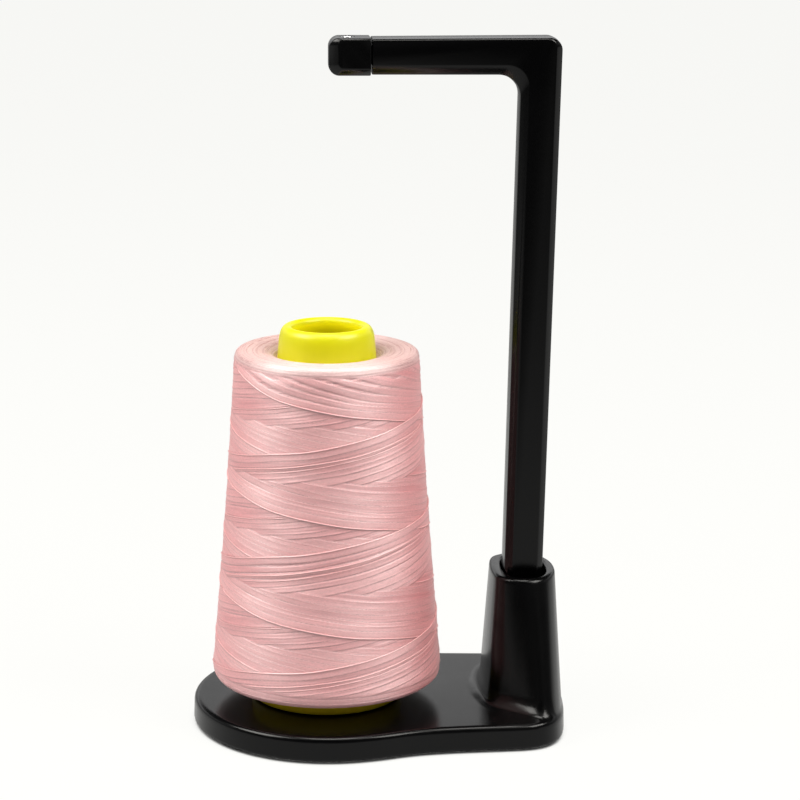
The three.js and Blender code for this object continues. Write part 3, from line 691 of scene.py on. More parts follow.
# ------------------------------------------------------------------ end cap and eyelet
def cap_rings():
    A, B, C = [], [], []

    def put(a, b, c):
        A.append(a), B.append(b), C.append(c)

    zb, zt = ARM_BOTTOM - CAP_PROUD, ARM_TOP_L + CAP_PROUD
    ra, rb, cl, cb, ct, n = 3.0, 1.5, 2.7, 2.1, 0.6, 12
    put((CAP_R, zb), (CAP_R, zb + cb), cb)
    put((CAP_R, zt), (CAP_R, zt - ct), ct)
    a1 = arc(CAP_L + ra, zt - ra, ra, 90, 180, n)
    b1 = arc(CAP_L + cl + rb, zt - ct - rb, rb, 90, 180, n)
    for i in range(n + 1):
        put(a1[i], b1[i], ct + (cl - ct) * i / n)
    a2 = arc(CAP_L + ra, zb + ra, ra, 180, 270, n)
    b2 = arc(CAP_L + cl + rb, zb + cb + rb, rb, 180, 270, n)
    for i in range(n + 1):
        put(a2[i], b2[i], cl + (cb - cl) * i / n)
    return np.array(A), np.array(B), np.array(C)


def end_cap():
    cap = chamfered("arm_end_cap_moulding", cap_rings(), ARM_HD + CAP_PROUD, 1.2)
    soft_edges(cap, 0.32, 3, 20)
    combine(cap, block("pocket", -6.6, 0, -3.9, 3.9, 191.6, 197.7), "DIFFERENCE")
    drill = new_object("drill", lathe_mesh("drill", [(0, 180), (EYELET_R + 0.15, 180), (EYELET_R + 0.15, 210), (0, 210)], EYELET_X, 0, 64, False))
    combine(cap, drill, "DIFFERENCE")
    return cap


finish_piece(end_cap(), "arm", "cap_plastic", CAP, "arm_end_cap")
e0, e1 = ARM_BOTTOM - CAP_PROUD + 0.1, ARM_TOP_L + CAP_PROUD - 0.1
eyelet_line = [(1.62, e0)] + [(1.78 + 0.22 * math.cos(a), e0 + 0.22 + 0.22 * math.sin(a)) for a in np.radians(np.linspace(-90, 0, 6))] \
    + [(1.78 + 0.22 * math.cos(a), e1 - 0.22 + 0.22 * math.sin(a)) for a in np.radians(np.linspace(0, 90, 6))] \
    + [(1.6 - 0.3 * math.sin(a), e1 - 0.5 * (1 - math.cos(a))) for a in np.radians(np.linspace(0, 90, 8))] \
    + [(1.6 - 0.3 * math.cos(a), e0 + 0.5 * (1 - math.sin(a))) for a in np.radians(np.linspace(0, 90, 8))]
finish_piece(new_object("thread_eyelet_ring", lathe_mesh("thread_eyelet_ring", eyelet_line, EYELET_X, 0, 72)), "arm", "steel", STEEL, "thread_eyelet")

# ------------------------------------------------------------------ pin, seat, pads
pin_line = round_profile(
    [(1.3, 15.2), (1.3, 5.45), (2.2, 5.45), (2.2, 7.8), (5.2, 7.8), (5.2, 8.95), (PIN_R, 9.0), (PIN_R, PIN_TOP - 2.6), (1.6, PIN_TOP - 0.3), (0, PIN_TOP)],
    [0, 0, 0.15, 0.0, 0.1, 0.35, 0.4, 1.6, 0.8, 0])
pin_line = np.vstack([[(0, 16.0)], pin_line])
finish_piece(new_object("spool_pin_moulding", lathe_mesh("spool_pin_moulding", pin_line, CONE_X, 0, 96)), "base", "black_plastic", BLACK, "spool_pin")
for i, (x, y) in enumerate(PADS):
    line = round_profile([(0, FOOT_PROUD + 0.8), (6.0, FOOT_PROUD + 0.8), (6.0, 0.0), (0, 0.0)], [0, 0.1, 0.5, 0])
    finish_piece(new_object(f"foot_pad_disc_{i + 1}", lathe_mesh(f"foot_pad_disc_{i + 1}", line, x, y, 64)), "base", "pad_rubber", RUBBER, f"foot_pad_{i + 1}")


def core_outer(z):
    return CORE_R0 - CORE_SLOPE * (z - CORE_BOTTOM)


def cone_seat():
    h = 0.32
    low = np.array([CONE_X - 20.6, -20.6, 8.4])
    n = (130, 130, 122)
    X, Y, Z = (low[i] + h * np.arange(n[i]) for i in range(3))
    gx, gy, gz = np.meshgrid(X - CONE_X, Y, Z, indexing="ij")
    r = np.hypot(gx, gy)
    wall = core_outer(gz) - CORE_WALL - 0.45
    disk = both(r - wall, gz - 11.3, 0.3)
    disk = both(disk, 9.3 - gz, 0.5)
    hub = both(r - (4.8 - 0.4 * (gz - 11.3) / 34.7), gz - (SEAT_TOP + 2), 0.4)
    fins = np.full(n, 9.0, np.float32)
    for k in range(3):
        a = k * np.pi / 3 + np.pi / 6
        across = np.abs(-np.sin(a) * gx + np.cos(a) * gy) - (0.95 - 0.006 * (gz - 10))
        fins = np.minimum(fins, across)
    top = gz - SEAT_TOP
    slant = (r - (wall - 0.0)) * 0.9 + np.clip(gz - 37.5, 0, 9) * 0.42
    fins = both(fins, np.maximum(slant, top), 0.35)
    F = either(either(disk, hub, 0.8), np.maximum(fins, 10.4 - gz), 0.6)
    F = np.maximum(F, 9.3 - gz)
    F = both(F, 3.0 - r, 0.3)
    return new_object("cone_seat_moulding", field_mesh("cone_seat_moulding", F.astype(np.float32), low, h))


finish_piece(cone_seat(), "seat", "seat_plastic", SEAT, "cone_seat")

# ------------------------------------------------------------------ cone core
lip = catmull([(core_outer(109.2), 109.2), (13.95, 111.0), (13.75, 113.2), (13.45, 115.2), (13.05, 116.4), (12.4, 117.25), (11.5, CORE_TOP),
               (10.6, 117.5), (10.05, 116.95), (9.87, 116.2), (9.9, 115.0), (10.2, 113.6), (10.8, 111.6), (core_outer(107) - CORE_WALL, 107)], 78)
core_line = [(core_outer(8) - CORE_WALL + 0.15, CORE_BOTTOM), (core_outer(8) - 0.55, CORE_BOTTOM), (core_outer(8) - 0.2, CORE_BOTTOM + 0.15),
             (core_outer(8.6), CORE_BOTTOM + 0.6)] + [(core_outer(z), z) for z in np.linspace(12, 108, 13)] + [tuple(q) for q in lip] \
    + [(core_outer(z) - CORE_WALL, z) for z in np.linspace(104, 9, 12)]
finish_piece(new_object("cone_core_tube", lathe_mesh("cone_core_tube", core_line, CONE_X, 0, 160)), "thread_cone", "yellow_plastic", YELLOW, "cone_core")

# ------------------------------------------------------------------ the winding
# The thread is laid down as the winder lays it: going up the cone and coming down it, each pass is a helix of pitch
# PITCH that lies a little further round than the last. A few passes lie side by side and make a flat bundle, and the
# bundles going up and coming down cover each other in turn.
PITCH = 31.4           # climb of a pass in one turn
X_Z, X_DEG = 93.4, 54  # where the newest rising and falling passes cross
Z0, Z1, DZ = 12.0, 111.4, 0.06
COLS = 480
THICK = 0.13           # what a bundle adds to the surface
rng = np.random.default_rng(7)
OUTER = [(30.6, 13.6), (32.0, 14.0), (32.9, 15.1), (33.2, 16.7), (32.95, 20.8), (31.85, 34), (30.35, 52), (28.85, 71), (27.75, 88), (26.95, 100),
         (26.5, 107.6), (26.42, 108.9), (26.1, 109.85), (25.5, 110.4), (24.6, 110.6), (20.0, 110.5), (17.0, 110.1), (15.4, 109.3), (14.35, 108.2)]


def strayed(s, back, z):
    """Where the lay wanders from its regular helix: a bulge of the rising passes half way up, and the falling passes
    that come over the top edge steeply."""
    bulge = 2.4 * np.exp(-((z - 57.3) / 8.0) ** 2) * np.exp(-back / 9.0)
    steep = 2.3 * np.clip((z - 98.5) / 6.0, 0, 1.3) ** 2
    return np.where(np.asarray(s) > 0, bulge, steep)


def lay_thread():
    nz = int(round((Z1 - Z0) / DZ)) + 1
    H = np.zeros((nz, COLS), np.float32)
    shadow = np.zeros((nz, COLS), np.float32)
    last = np.full((nz, COLS), -1, np.int32)
    turn = np.zeros((nz, COLS), np.int8)
    deg = -180 + 360 * (np.arange(COLS) + 0.5) / COLS
    t = np.radians(deg)
    backs, widths, at = [], [], 0.0
    while at < 2.1 * PITCH:
        w = rng.choice([1.25, 1.7, 2.05, 2.3, 2.7], p=[0.12, 0.22, 0.3, 0.24, 0.12]) * rng.uniform(0.94, 1.06)
        backs.append(at)
        widths.append(w)
        at += w * rng.uniform(0.9, 0.98)
    cols = np.arange(COLS)
    paths = []
    for n in reversed(range(len(backs))):
        for s in ((-1, 1) if n == 0 else (1, -1)):
            back, w = backs[n], widths[n]
            edge = X_Z - s * PITCH * X_DEG / 360 - s * back
            wob = sum(rng.uniform(0.02, 0.10) * np.sin(k * t + rng.uniform(0, 6.28)) for k in (1, 2, 3, 5, 8))
            breadth = w * 1.04 + sum(rng.uniform(0.01, 0.07) * np.sin(k * t + rng.uniform(0, 6.28)) for k in (1, 2, 4, 7))
            strands = rng.normal(0, 0.018, 40)
            rise = rng.uniform(-0.01, 0.035)
            # how dark the painted shadow in the grooves beside this bundle is, along its length
            dark = (rng.uniform(0.75, 1.0) * (1.0 if back < 14 else 0.65) if s > 0 else rng.uniform(0.3, 0.85)) * (1.0 if back > 0 or s > 0 else 1.4)
            uneven = 0.5 + 0.5 * np.clip(0.6 + sum(rng.uniform(0.1, 0.5) * np.sin(k * t + rng.uniform(0, 6.28)) for k in (2, 3, 5, 9, 14)), 0, 1)
            paths.append(dict(s=s, edge=edge, wob=wob, breadth=breadth, back=back))
            code = len(paths) - 1
            for m in range(-5, 6):
                lead = edge + s * PITCH * deg / 360 + m * PITCH + wob
                lead = lead + strayed(s, back, lead)
                ok = (lead - s * 1.5 > Z0 + 1.0) & (lead + 3.5 < Z1) & (lead - 3.5 > Z0) & (lead < Z1 - 1.0)
                if ok.sum() < 12:
                    continue
                c = cols[ok]
                r0 = np.round((lead[ok] - Z0) / DZ).astype(int)
                wid = breadth[ok]
                steps = int(wid.max() / DZ) + 1
                lines = np.stack([H[r0 - s * k, c] for k in range(steps)])
                # a taut bundle bridges the hollows under it, along the strands and across them
                lines = np.stack([np.convolve(np.pad(q, 7, mode="edge"), np.ones(15) / 15, "valid") for q in lines])
                pad = np.pad(lines, ((4, 4), (0, 0)), mode="edge")
                lines = sum(pad[i:i + steps] for i in range(9)) / 9
                # outside its two edges it paints a shadow onto what lies under it: painted shadow
                drop = (0.95 if back == 0 else dark) * uneven[ok]
                for k in range(1, 6):
                    q = drop * min(1.0, 1.4 * (1 - (k - 1) / 5.0))
                    rr = r0 + s * k
                    shadow[rr, c] = np.maximum(shadow[rr, c], q)
                    if k < 4:
                        rr = r0 - s * (np.round(wid / DZ).astype(int) + k)
                        shadow[rr, c] = np.maximum(shadow[rr, c], dark * uneven[ok] * (1.3 - 0.3 * k))
                for k in range(steps):
                    d = k * DZ
                    inside = d <= wid
                    x = np.clip(2 * d / wid - 1, -1, 1)
                    dome = np.sqrt(np.clip(1 - np.abs(x) ** 5, 0, 1))
                    hh = lines[k] + THICK * (0.35 + 0.65 * dome) + rise + strands[int(d / 0.24)]
                    rr, cc = (r0 - s * k)[inside], c[inside]
                    H[rr, cc] = hh[inside]
                    # painted shade inside the bundle, darker towards its trailing edge
                    shadow[rr, cc] = 0.25 * dark * np.clip((d - wid[inside] + 0.2) / 0.2, 0, 1)
                    last[rr, cc] = code
                    turn[rr, cc] = m
    return H, shadow, last, turn, paths


def blur(a, sigma, axis):
    """Gaussian blur along an axis: columns wrap round the cone, rows don't."""
    k = max(1, int(3 * sigma))
    x = np.arange(-k, k + 1)
    w = np.exp(-0.5 * (x / sigma) ** 2)
    w /= w.sum()
    pad = [(0, 0), (0, 0)]
    pad[axis] = (k, k)
    p = np.pad(a, pad, mode="wrap" if axis == 1 else "edge")
    out = np.zeros_like(a)
    for i, wi in enumerate(w):
        sl = [slice(None), slice(None)]
        sl[axis] = slice(i, i + a.shape[axis])
        out += wi * p[tuple(sl)]
    return out


HEIGHT, SHADOW, LAST, TURN, PATHS = lay_thread()
RELIEF = HEIGHT - blur(blur(HEIGHT, 3.6 / DZ, 0), 12, 1)
RELIEF = blur(RELIEF, 0.09 / DZ, 0)
# painted shade: the painted edge shadows, blurred, and a darkening of the hollows in the relief
PAINTED_SHADE = np.clip(0.9 * blur(SHADOW, 0.05 / DZ, 0) + 0.35 * np.clip((blur(RELIEF, 0.55 / DZ, 0) - RELIEF - 0.015) / 0.12, 0, 1), 0, 1)
P_SIGN = np.array([q["s"] for q in PATHS] + [1], float)
P_EDGE = np.array([q["edge"] for q in PATHS] + [0.0])
P_BACK = np.array([q["back"] for q in PATHS] + [0.0])
P_WOB = np.array([q["wob"] for q in PATHS] + [np.zeros(COLS)])
P_BREADTH = np.array([q["breadth"] for q in PATHS] + [np.full(COLS, 2.0)])
TONES = rng.uniform(0, 1, len(PATHS) + 1)
CHANCE = rng.uniform(0, 1, len(PATHS) + 1)


def column(deg):
    return ((deg + 180) / 360 * COLS - 0.5) % COLS


def at_grid(field, z, deg):
    """Bilinear sample of a winding field at heights z and azimuths deg."""
    f = np.clip((z - Z0) / DZ, 0, field.shape[0] - 1.001)
    g = column(deg)
    i, j = np.floor(f).astype(int), np.floor(g).astype(int)
    u, v = f - i, g - j
    j2 = (j + 1) % COLS
    return (field[i, j] * (1 - u) * (1 - v) + field[i + 1, j] * u * (1 - v) + field[i, j2] * (1 - u) * v + field[i + 1, j2] * u * v)


def outer_line():
    """The winding's outer line, from its bottom edge over the top to the core: points and the length along it."""
    body = catmull(OUTER, 1800)
    seg = np.r_[0, np.cumsum(np.linalg.norm(np.diff(body, axis=0), axis=1))]
    return body, seg


def turning(t):
    """How the nearly concentric strands of the two ends stray from circles."""
    return 0.50 * np.sin(t + 0.6) + 0.26 * np.sin(2 * t + 2.1) + 0.14 * np.sin(3 * t + 4.0) + 0.08 * np.sin(5 * t + 1.0)


def winding():
    body, seg = outer_line()
    total = seg[-1]
    rows = np.linspace(0, total, int(round(total / 0.186)) + 1)
    r0, z0 = np.interp(rows, seg, body[:, 0]), np.interp(rows, seg, body[:, 1])
    tr, tz = np.gradient(r0, rows), np.gradient(z0, rows)
    ln = np.hypot(tr, tz)
    tr, tz = tr / ln, tz / ln
    nr, nz_ = tz, -tr
    cols = 318
    deg = -180 + 360 * np.arange(cols + 1) / cols
    Zg, Dg = np.meshgrid(z0, deg, indexing="ij")
    Sg = np.repeat(rows[:, None], cols + 1, 1)
    s_top = rows[np.argmax(z0 > 107.2)]
    s_low = rows[np.argmax(z0 > 16.4)]
    side = np.clip((s_top + 0.9 - Sg) / 0.9, 0, 1) * np.clip((Sg - s_low) / 1.6, 0, 1)
    side = side * side * (3 - 2 * side)
    relief = at_grid(RELIEF, Zg, Dg)
    # the painted shade of the sides, read off the grid
    cavity = at_grid(PAINTED_SHADE, Zg, Dg)
    # the ends: strands turn back there and lie nearly concentric
    swirl = Sg + turning(np.radians(Dg))
    gen = np.random.default_rng(11)
    edges, at = [], -3.0
    while at < total + 4:
        edges.append(at)
        at += gen.choice([0.32, 0.5, 0.8, 1.5]) * gen.uniform(0.8, 1.2)
    edges = np.array(edges)
    lifts = gen.uniform(-0.05, 0.07, len(edges))
    end_tone = gen.uniform(0.1, 1.0, len(edges))

    def end_of(q):
        k = np.clip(np.searchsorted(edges, q) - 1, 0, len(edges) - 2)
        return k, q - edges[k], edges[k + 1] - q

    k, lo, hi = end_of(swirl)
    w = lo / (lo + hi)
    dome = np.sqrt(np.clip(1 - np.abs(2 * w - 1) ** 3, 0, 1))
    end_relief = 0.11 * (dome - 0.7) + lifts[k]
    # painted shade between the nearly concentric strands of the ends
    painted_end_shade = np.clip(1 - dome * 1.7, 0, 1) * (0.25 + 0.6 * end_tone[k])
    relief = relief * side + end_relief * (1 - side)
    cavity = cavity * side + painted_end_shade * (1 - side)
    fade = np.clip((total - Sg) / 0.8, 0, 1) * np.clip(Sg / 0.8, 0, 1)
    off = np.clip(relief, -0.30, 0.30) * fade
    R = r0[:, None] + nr[:, None] * off
    Zv = z0[:, None] + nz_[:, None] * off
    a = np.radians(deg[:cols])
    px, py = CONE_X + R[:, :cols] * np.sin(a), -R[:, :cols] * np.cos(a)
    verts = [np.stack([px, py, Zv[:, :cols]], 2).reshape(-1, 3)]
    n_rows = len(rows)
    inner = [(core_outer(z) + 0.12, z) for z in np.linspace(108.2, 13.6, 7)]
    for r, z in inner:
        verts.append(np.stack([CONE_X + r * np.sin(a), -r * np.cos(a), np.full(cols, z)], 1))
    verts = np.vstack(verts)
    total_rows = n_rows + len(inner)
    I, J = np.meshgrid(np.arange(total_rows), np.arange(cols), indexing="ij")
    I2, J2 = (I + 1) % total_rows, (J + 1) % cols
    quads = np.stack([I * cols + J, I * cols + J2, I2 * cols + J2, I2 * cols + J], 2).reshape(-1, 4)
    me = mesh_of("thread_winding_strands", verts, quads)
    # the lay of the strands on the face corners
    fill = len(inner)
    rr = np.r_[r0, [q[0] for q in inner]]
    zz = np.r_[z0, [q[1] for q in inner]]
    ss = np.r_[rows, total + np.cumsum(np.r_[3.0, np.full(fill - 1, 16.0)])]
    ur, uz = np.r_[tr, np.zeros(fill)], np.r_[tz, -np.ones(fill)]
    ci = np.minimum(np.stack([I, I, I + 1, I + 1], 2), total_rows - 1)
    cj = np.stack([J, J + 1, J + 1, J], 2)
    zc, dc, radius = zz[ci], deg[cj], rr[ci]
    mid_z, mid_d = zc.mean(2), dc.mean(2)
    f = np.clip(np.round((mid_z - Z0) / DZ).astype(int), 0, LAST.shape[0] - 1)
    g = np.round(column(mid_d)).astype(int) % COLS
    code, m = LAST[f, g], TURN[f, g]
    sgn = P_SIGN[code][:, :, None]
    col = column(dc)
    j0 = np.floor(col).astype(int)
    v = col - j0
    c3 = np.repeat(code[:, :, None], 4, 2)
    wob = P_WOB[c3, j0 % COLS] * (1 - v) + P_WOB[c3, (j0 + 1) % COLS] * v
    wide = P_BREADTH[c3, j0 % COLS] * (1 - v) + P_BREADTH[c3, (j0 + 1) % COLS] * v
    lead_z = P_EDGE[code][:, :, None] + sgn * PITCH * dc / 360 + m[:, :, None] * PITCH + wob
    lead = sgn * (lead_z + strayed(sgn + 0 * dc, P_BACK[code][:, :, None], lead_z) - zc)
    is_end = (ss[np.minimum(I, total_rows - 1)] > s_top + 0.45) | (ss[I] < s_low + 0.8) | (code < 0)
    e3 = np.repeat(is_end[:, :, None], 4, 2)
    turn_len = radius * np.radians(dc)
    slope = PITCH / (2 * np.pi * radius)
    cosv = 1 / np.sqrt(1 + slope ** 2)
    sc = ss[ci] + turning(np.radians(dc))
    ek, _, _ = end_of(sc.mean(2))
    lo, hi = sc - edges[ek][:, :, None], edges[ek + 1][:, :, None] - sc
    across = np.where(e3, sc, lead + 7.3 * c3)
    along = np.where(e3, turn_len, (turn_len + sgn * zc * slope) * cosv)
    tone = np.where(is_end, end_tone[ek], TONES[code])
    strand = np.stack([across, along, np.repeat(tone[:, :, None], 4, 2)], 3)
    lay = np.stack([np.where(e3, lo, lead), np.where(e3, hi, wide - lead), np.repeat(np.where(is_end, 0.3, CHANCE[code])[:, :, None], 4, 2)], 3)
    aa = np.radians(dc)
    up = np.stack([ur[ci] * np.sin(aa), -ur[ci] * np.cos(aa), uz[ci]], 3)
    round_ = np.stack([np.cos(aa), np.sin(aa), 0 * aa], 3)
    cross = up * cosv[..., None] - round_ * (np.where(e3, 0, sgn * slope) * cosv)[..., None]
    for name, data in (("strand", strand), ("lay", lay), ("cross", cross)):
        at = me.attributes.new(name, "FLOAT_VECTOR", "CORNER")
        at.data.foreach_set("vector", data.reshape(-1, 3).astype(np.float32).ravel())
    # the painted shade goes to the shader as the shade attribute
    painted_shade_values = np.zeros(len(verts), np.float32)
    painted_shade_values[:n_rows * cols] = cavity[:, :cols].ravel()
    at = me.attributes.new("shade", "FLOAT", "POINT")
    at.data.foreach_set("value", painted_shade_values)
    # painted light: the top face, lit from above, is painted paler
    painted_light = np.zeros((total_rows, cols), np.float32)
    painted_light[:n_rows] = np.clip((Sg[:, :cols] - s_top - 0.2) / 2.2, 0, 1)
    at = me.attributes.new("painted_light", "FLOAT", "POINT")
    at.data.foreach_set("value", painted_light.ravel())
    me.calc_loop_triangles()
    co = np.empty(len(me.vertices) * 3, np.float32)
    me.vertices.foreach_get("co", co)
    co = co.reshape(-1, 3)
    tri = np.empty(len(me.loop_triangles) * 3, np.int32)
    me.loop_triangles.foreach_get("vertices", tri)
    tri = tri.reshape(-1, 3)
    if np.einsum("ij,ij->i", co[tri[:, 0]], np.cross(co[tri[:, 1]], co[tri[:, 2]])).sum() < 0:
        raise RuntimeError("the winding's faces point in")
    print("winding faces", len(me.polygons))
    return new_object("thread_winding_strands", me)


finish_piece(winding(), "thread_cone", "pink_thread", PINK, "thread_winding")


def raised_strands():
    """The strands that stand proud of the rest, as real round threads: the newest pass each way, clear of its bundle, and
    the first strand of some older bundles. Where later passes cover one, it dives under them."""
    body, seg = outer_line()
    body = body[:np.argmax(body[:, 1] > 108.6)]
    gen = np.random.default_rng(5)
    newest = len(PATHS) - 1
    chosen = [(newest, 0.08, 0.15), (newest - 1, 0.08, 0.15)]
    for i in range(newest - 1, newest - 22, -1):
        if gen.uniform() < 0.2:
            chosen.append((i, gen.uniform(0.3, 0.8), 0.12))
    verts, quads, strand, lay, cross = [], [], [], [], []
    sides = 7
    for code, at_u, radius in chosen:
        q = PATHS[code]
        s, edge, wob, back = q["s"], q["edge"], q["wob"], q["back"]
        # one long path: azimuth unwrapped, height from the bottom edge to the top one
        zz = np.arange(17.4, 107.3, 0.14)
        deg = s * (zz - edge) * 360 / PITCH
        zc = zz + np.interp(column(deg), np.arange(COLS), wob, period=COLS)
        zc = zc + strayed(s, back, zc) - s * at_u
        stop = int(np.argmax(zc > 107.2)) or len(zc)
        zz, deg, zc = zz[:stop], deg[:stop], zc[:stop]
        wrapped = (deg + 180) % 360 - 180
        r_i = np.round((zc - Z0) / DZ).astype(int)
        c_i = np.round(column(deg)).astype(int) % COLS
        seen = np.zeros(len(zz))
        for k in (-1, 0, 1):
            seen = np.maximum(seen, LAST[np.clip(r_i + k, 0, LAST.shape[0] - 1), c_i] <= code)
        seen = np.convolve(np.pad(seen, 4, mode="edge"), np.ones(9) / 9, "valid")
        rel = at_grid(RELIEF, zc, wrapped)
        rel = np.convolve(np.pad(rel, 6, mode="edge"), np.ones(13) / 13, "valid")
        lift = np.clip(rel, -0.2, 0.3) + radius * (0.75 if at_u < 0.1 else 0.6) - 0.62 * (1 - np.clip(seen * 1.6 - 0.3, 0, 1))
        lift = lift - 0.8 * np.clip((zc - 106.4) / 0.9, 0, 1) - 0.8 * np.clip((18.2 - zc) / 0.8, 0, 1)
        r_path = np.interp(zc, body[:, 1], body[:, 0]) + lift
        a = np.radians(deg)
        p = np.stack([CONE_X + r_path * np.sin(a), -r_path * np.cos(a), zc], 1)
        tang = np.gradient(p, axis=0)
        tang /= np.linalg.norm(tang, axis=1)[:, None]
        outw = np.stack([np.sin(a), -np.cos(a), np.zeros_like(a)], 1)
        outw -= (outw * tang).sum(1)[:, None] * tang
        outw /= np.linalg.norm(outw, axis=1)[:, None]
        sidew = np.cross(tang, outw)
        length = np.r_[0, np.cumsum(np.linalg.norm(np.diff(p, axis=0), axis=1))]
        base = sum(len(x) for x in verts)
        ring = []
        for k in range(sides):
            b = 2 * np.pi * k / sides
            ring.append(p + radius * (np.cos(b) * outw + np.sin(b) * sidew))
        verts.append(np.stack(ring, 1).reshape(-1, 3))
        n = len(p)
        i, j = np.meshgrid(np.arange(n - 1), np.arange(sides), indexing="ij")
        ring_quads = np.stack([i * sides + j, (i + 1) * sides + j, (i + 1) * sides + (j + 1) % sides, i * sides + (j + 1) % sides], 2).reshape(-1, 4) + base
        quads += ring_quads.tolist()
        quads.append(tuple(base + k for k in range(sides)))
        quads.append(tuple(base + (n - 1) * sides + k for k in range(sides))[::-1])
        u = np.stack([j, j, j + 1, j + 1], 2) * 0.035
        v = np.stack([length[i], length[i + 1], length[i + 1], length[i]], 2)
        side4 = np.stack([sidew[i], sidew[i + 1], sidew[i + 1], sidew[i]], 2)
        # tone 1 paints the raised strands in the lightest pink: painted highlight
        strand += [np.stack([u + 0.04, v, np.full(u.shape, 1.0)], 3).reshape(-1, 3), np.tile([0.1, 0.0, 1.0], (2 * sides, 1))]
        lay.append(np.tile([0.8, 0.8, 0.6], (ring_quads.size + 2 * sides, 1)))
        cross += [side4.reshape(-1, 3), np.tile([0.0, 0.0, 1.0], (2 * sides, 1))]
    me = mesh_of("thread_raised_strands", np.vstack(verts), [tuple(q) for q in quads])
    for name, data in (("strand", strand), ("lay", lay), ("cross", cross)):
        at = me.attributes.new(name, "FLOAT_VECTOR", "CORNER")
        at.data.foreach_set("vector", np.vstack(data).astype(np.float32).ravel())
    # the raised strands get no painted shade, and are painted a little paler all along: painted highlight
    for name, value in (("shade", 0.0), ("painted_light", 0.3)):
        at = me.attributes.new(name, "FLOAT", "POINT")
        at.data.foreach_set("value", np.full(len(me.vertices), value, np.float32))
    me.calc_loop_triangles()
    co = np.array([v.co for v in me.vertices])
    tri = np.array([t.vertices for t in me.loop_triangles])
    if np.einsum("ij,ij->i", co[tri[:, 0]], np.cross(co[tri[:, 1]], co[tri[:, 2]])).sum() < 0:
        me.flip_normals()
    return new_object("thread_raised_strands", me)


finish_piece(raised_strands(), "thread_cone", "pink_thread", PINK)

# ------------------------------------------------------------------ CAD nodes that stay
for name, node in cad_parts.items():
    if name == "bottom_cover" or name.startswith("cover_screw") or name in ("pin_washer", "pin_screw"):
        mat = UNDER if name == "bottom_cover" else STEEL
        if not node.material_slots:
            node.data.materials.append(mat)
        for s in node.material_slots:
            s.link = "OBJECT"
            s.material = mat
        m = node.modifiers.new("edges", "BEVEL")
        m.width, m.segments, m.limit_method, m.angle_limit = (0.0003 if name == "bottom_cover" else 0.00012), 2, "ANGLE", math.radians(35)


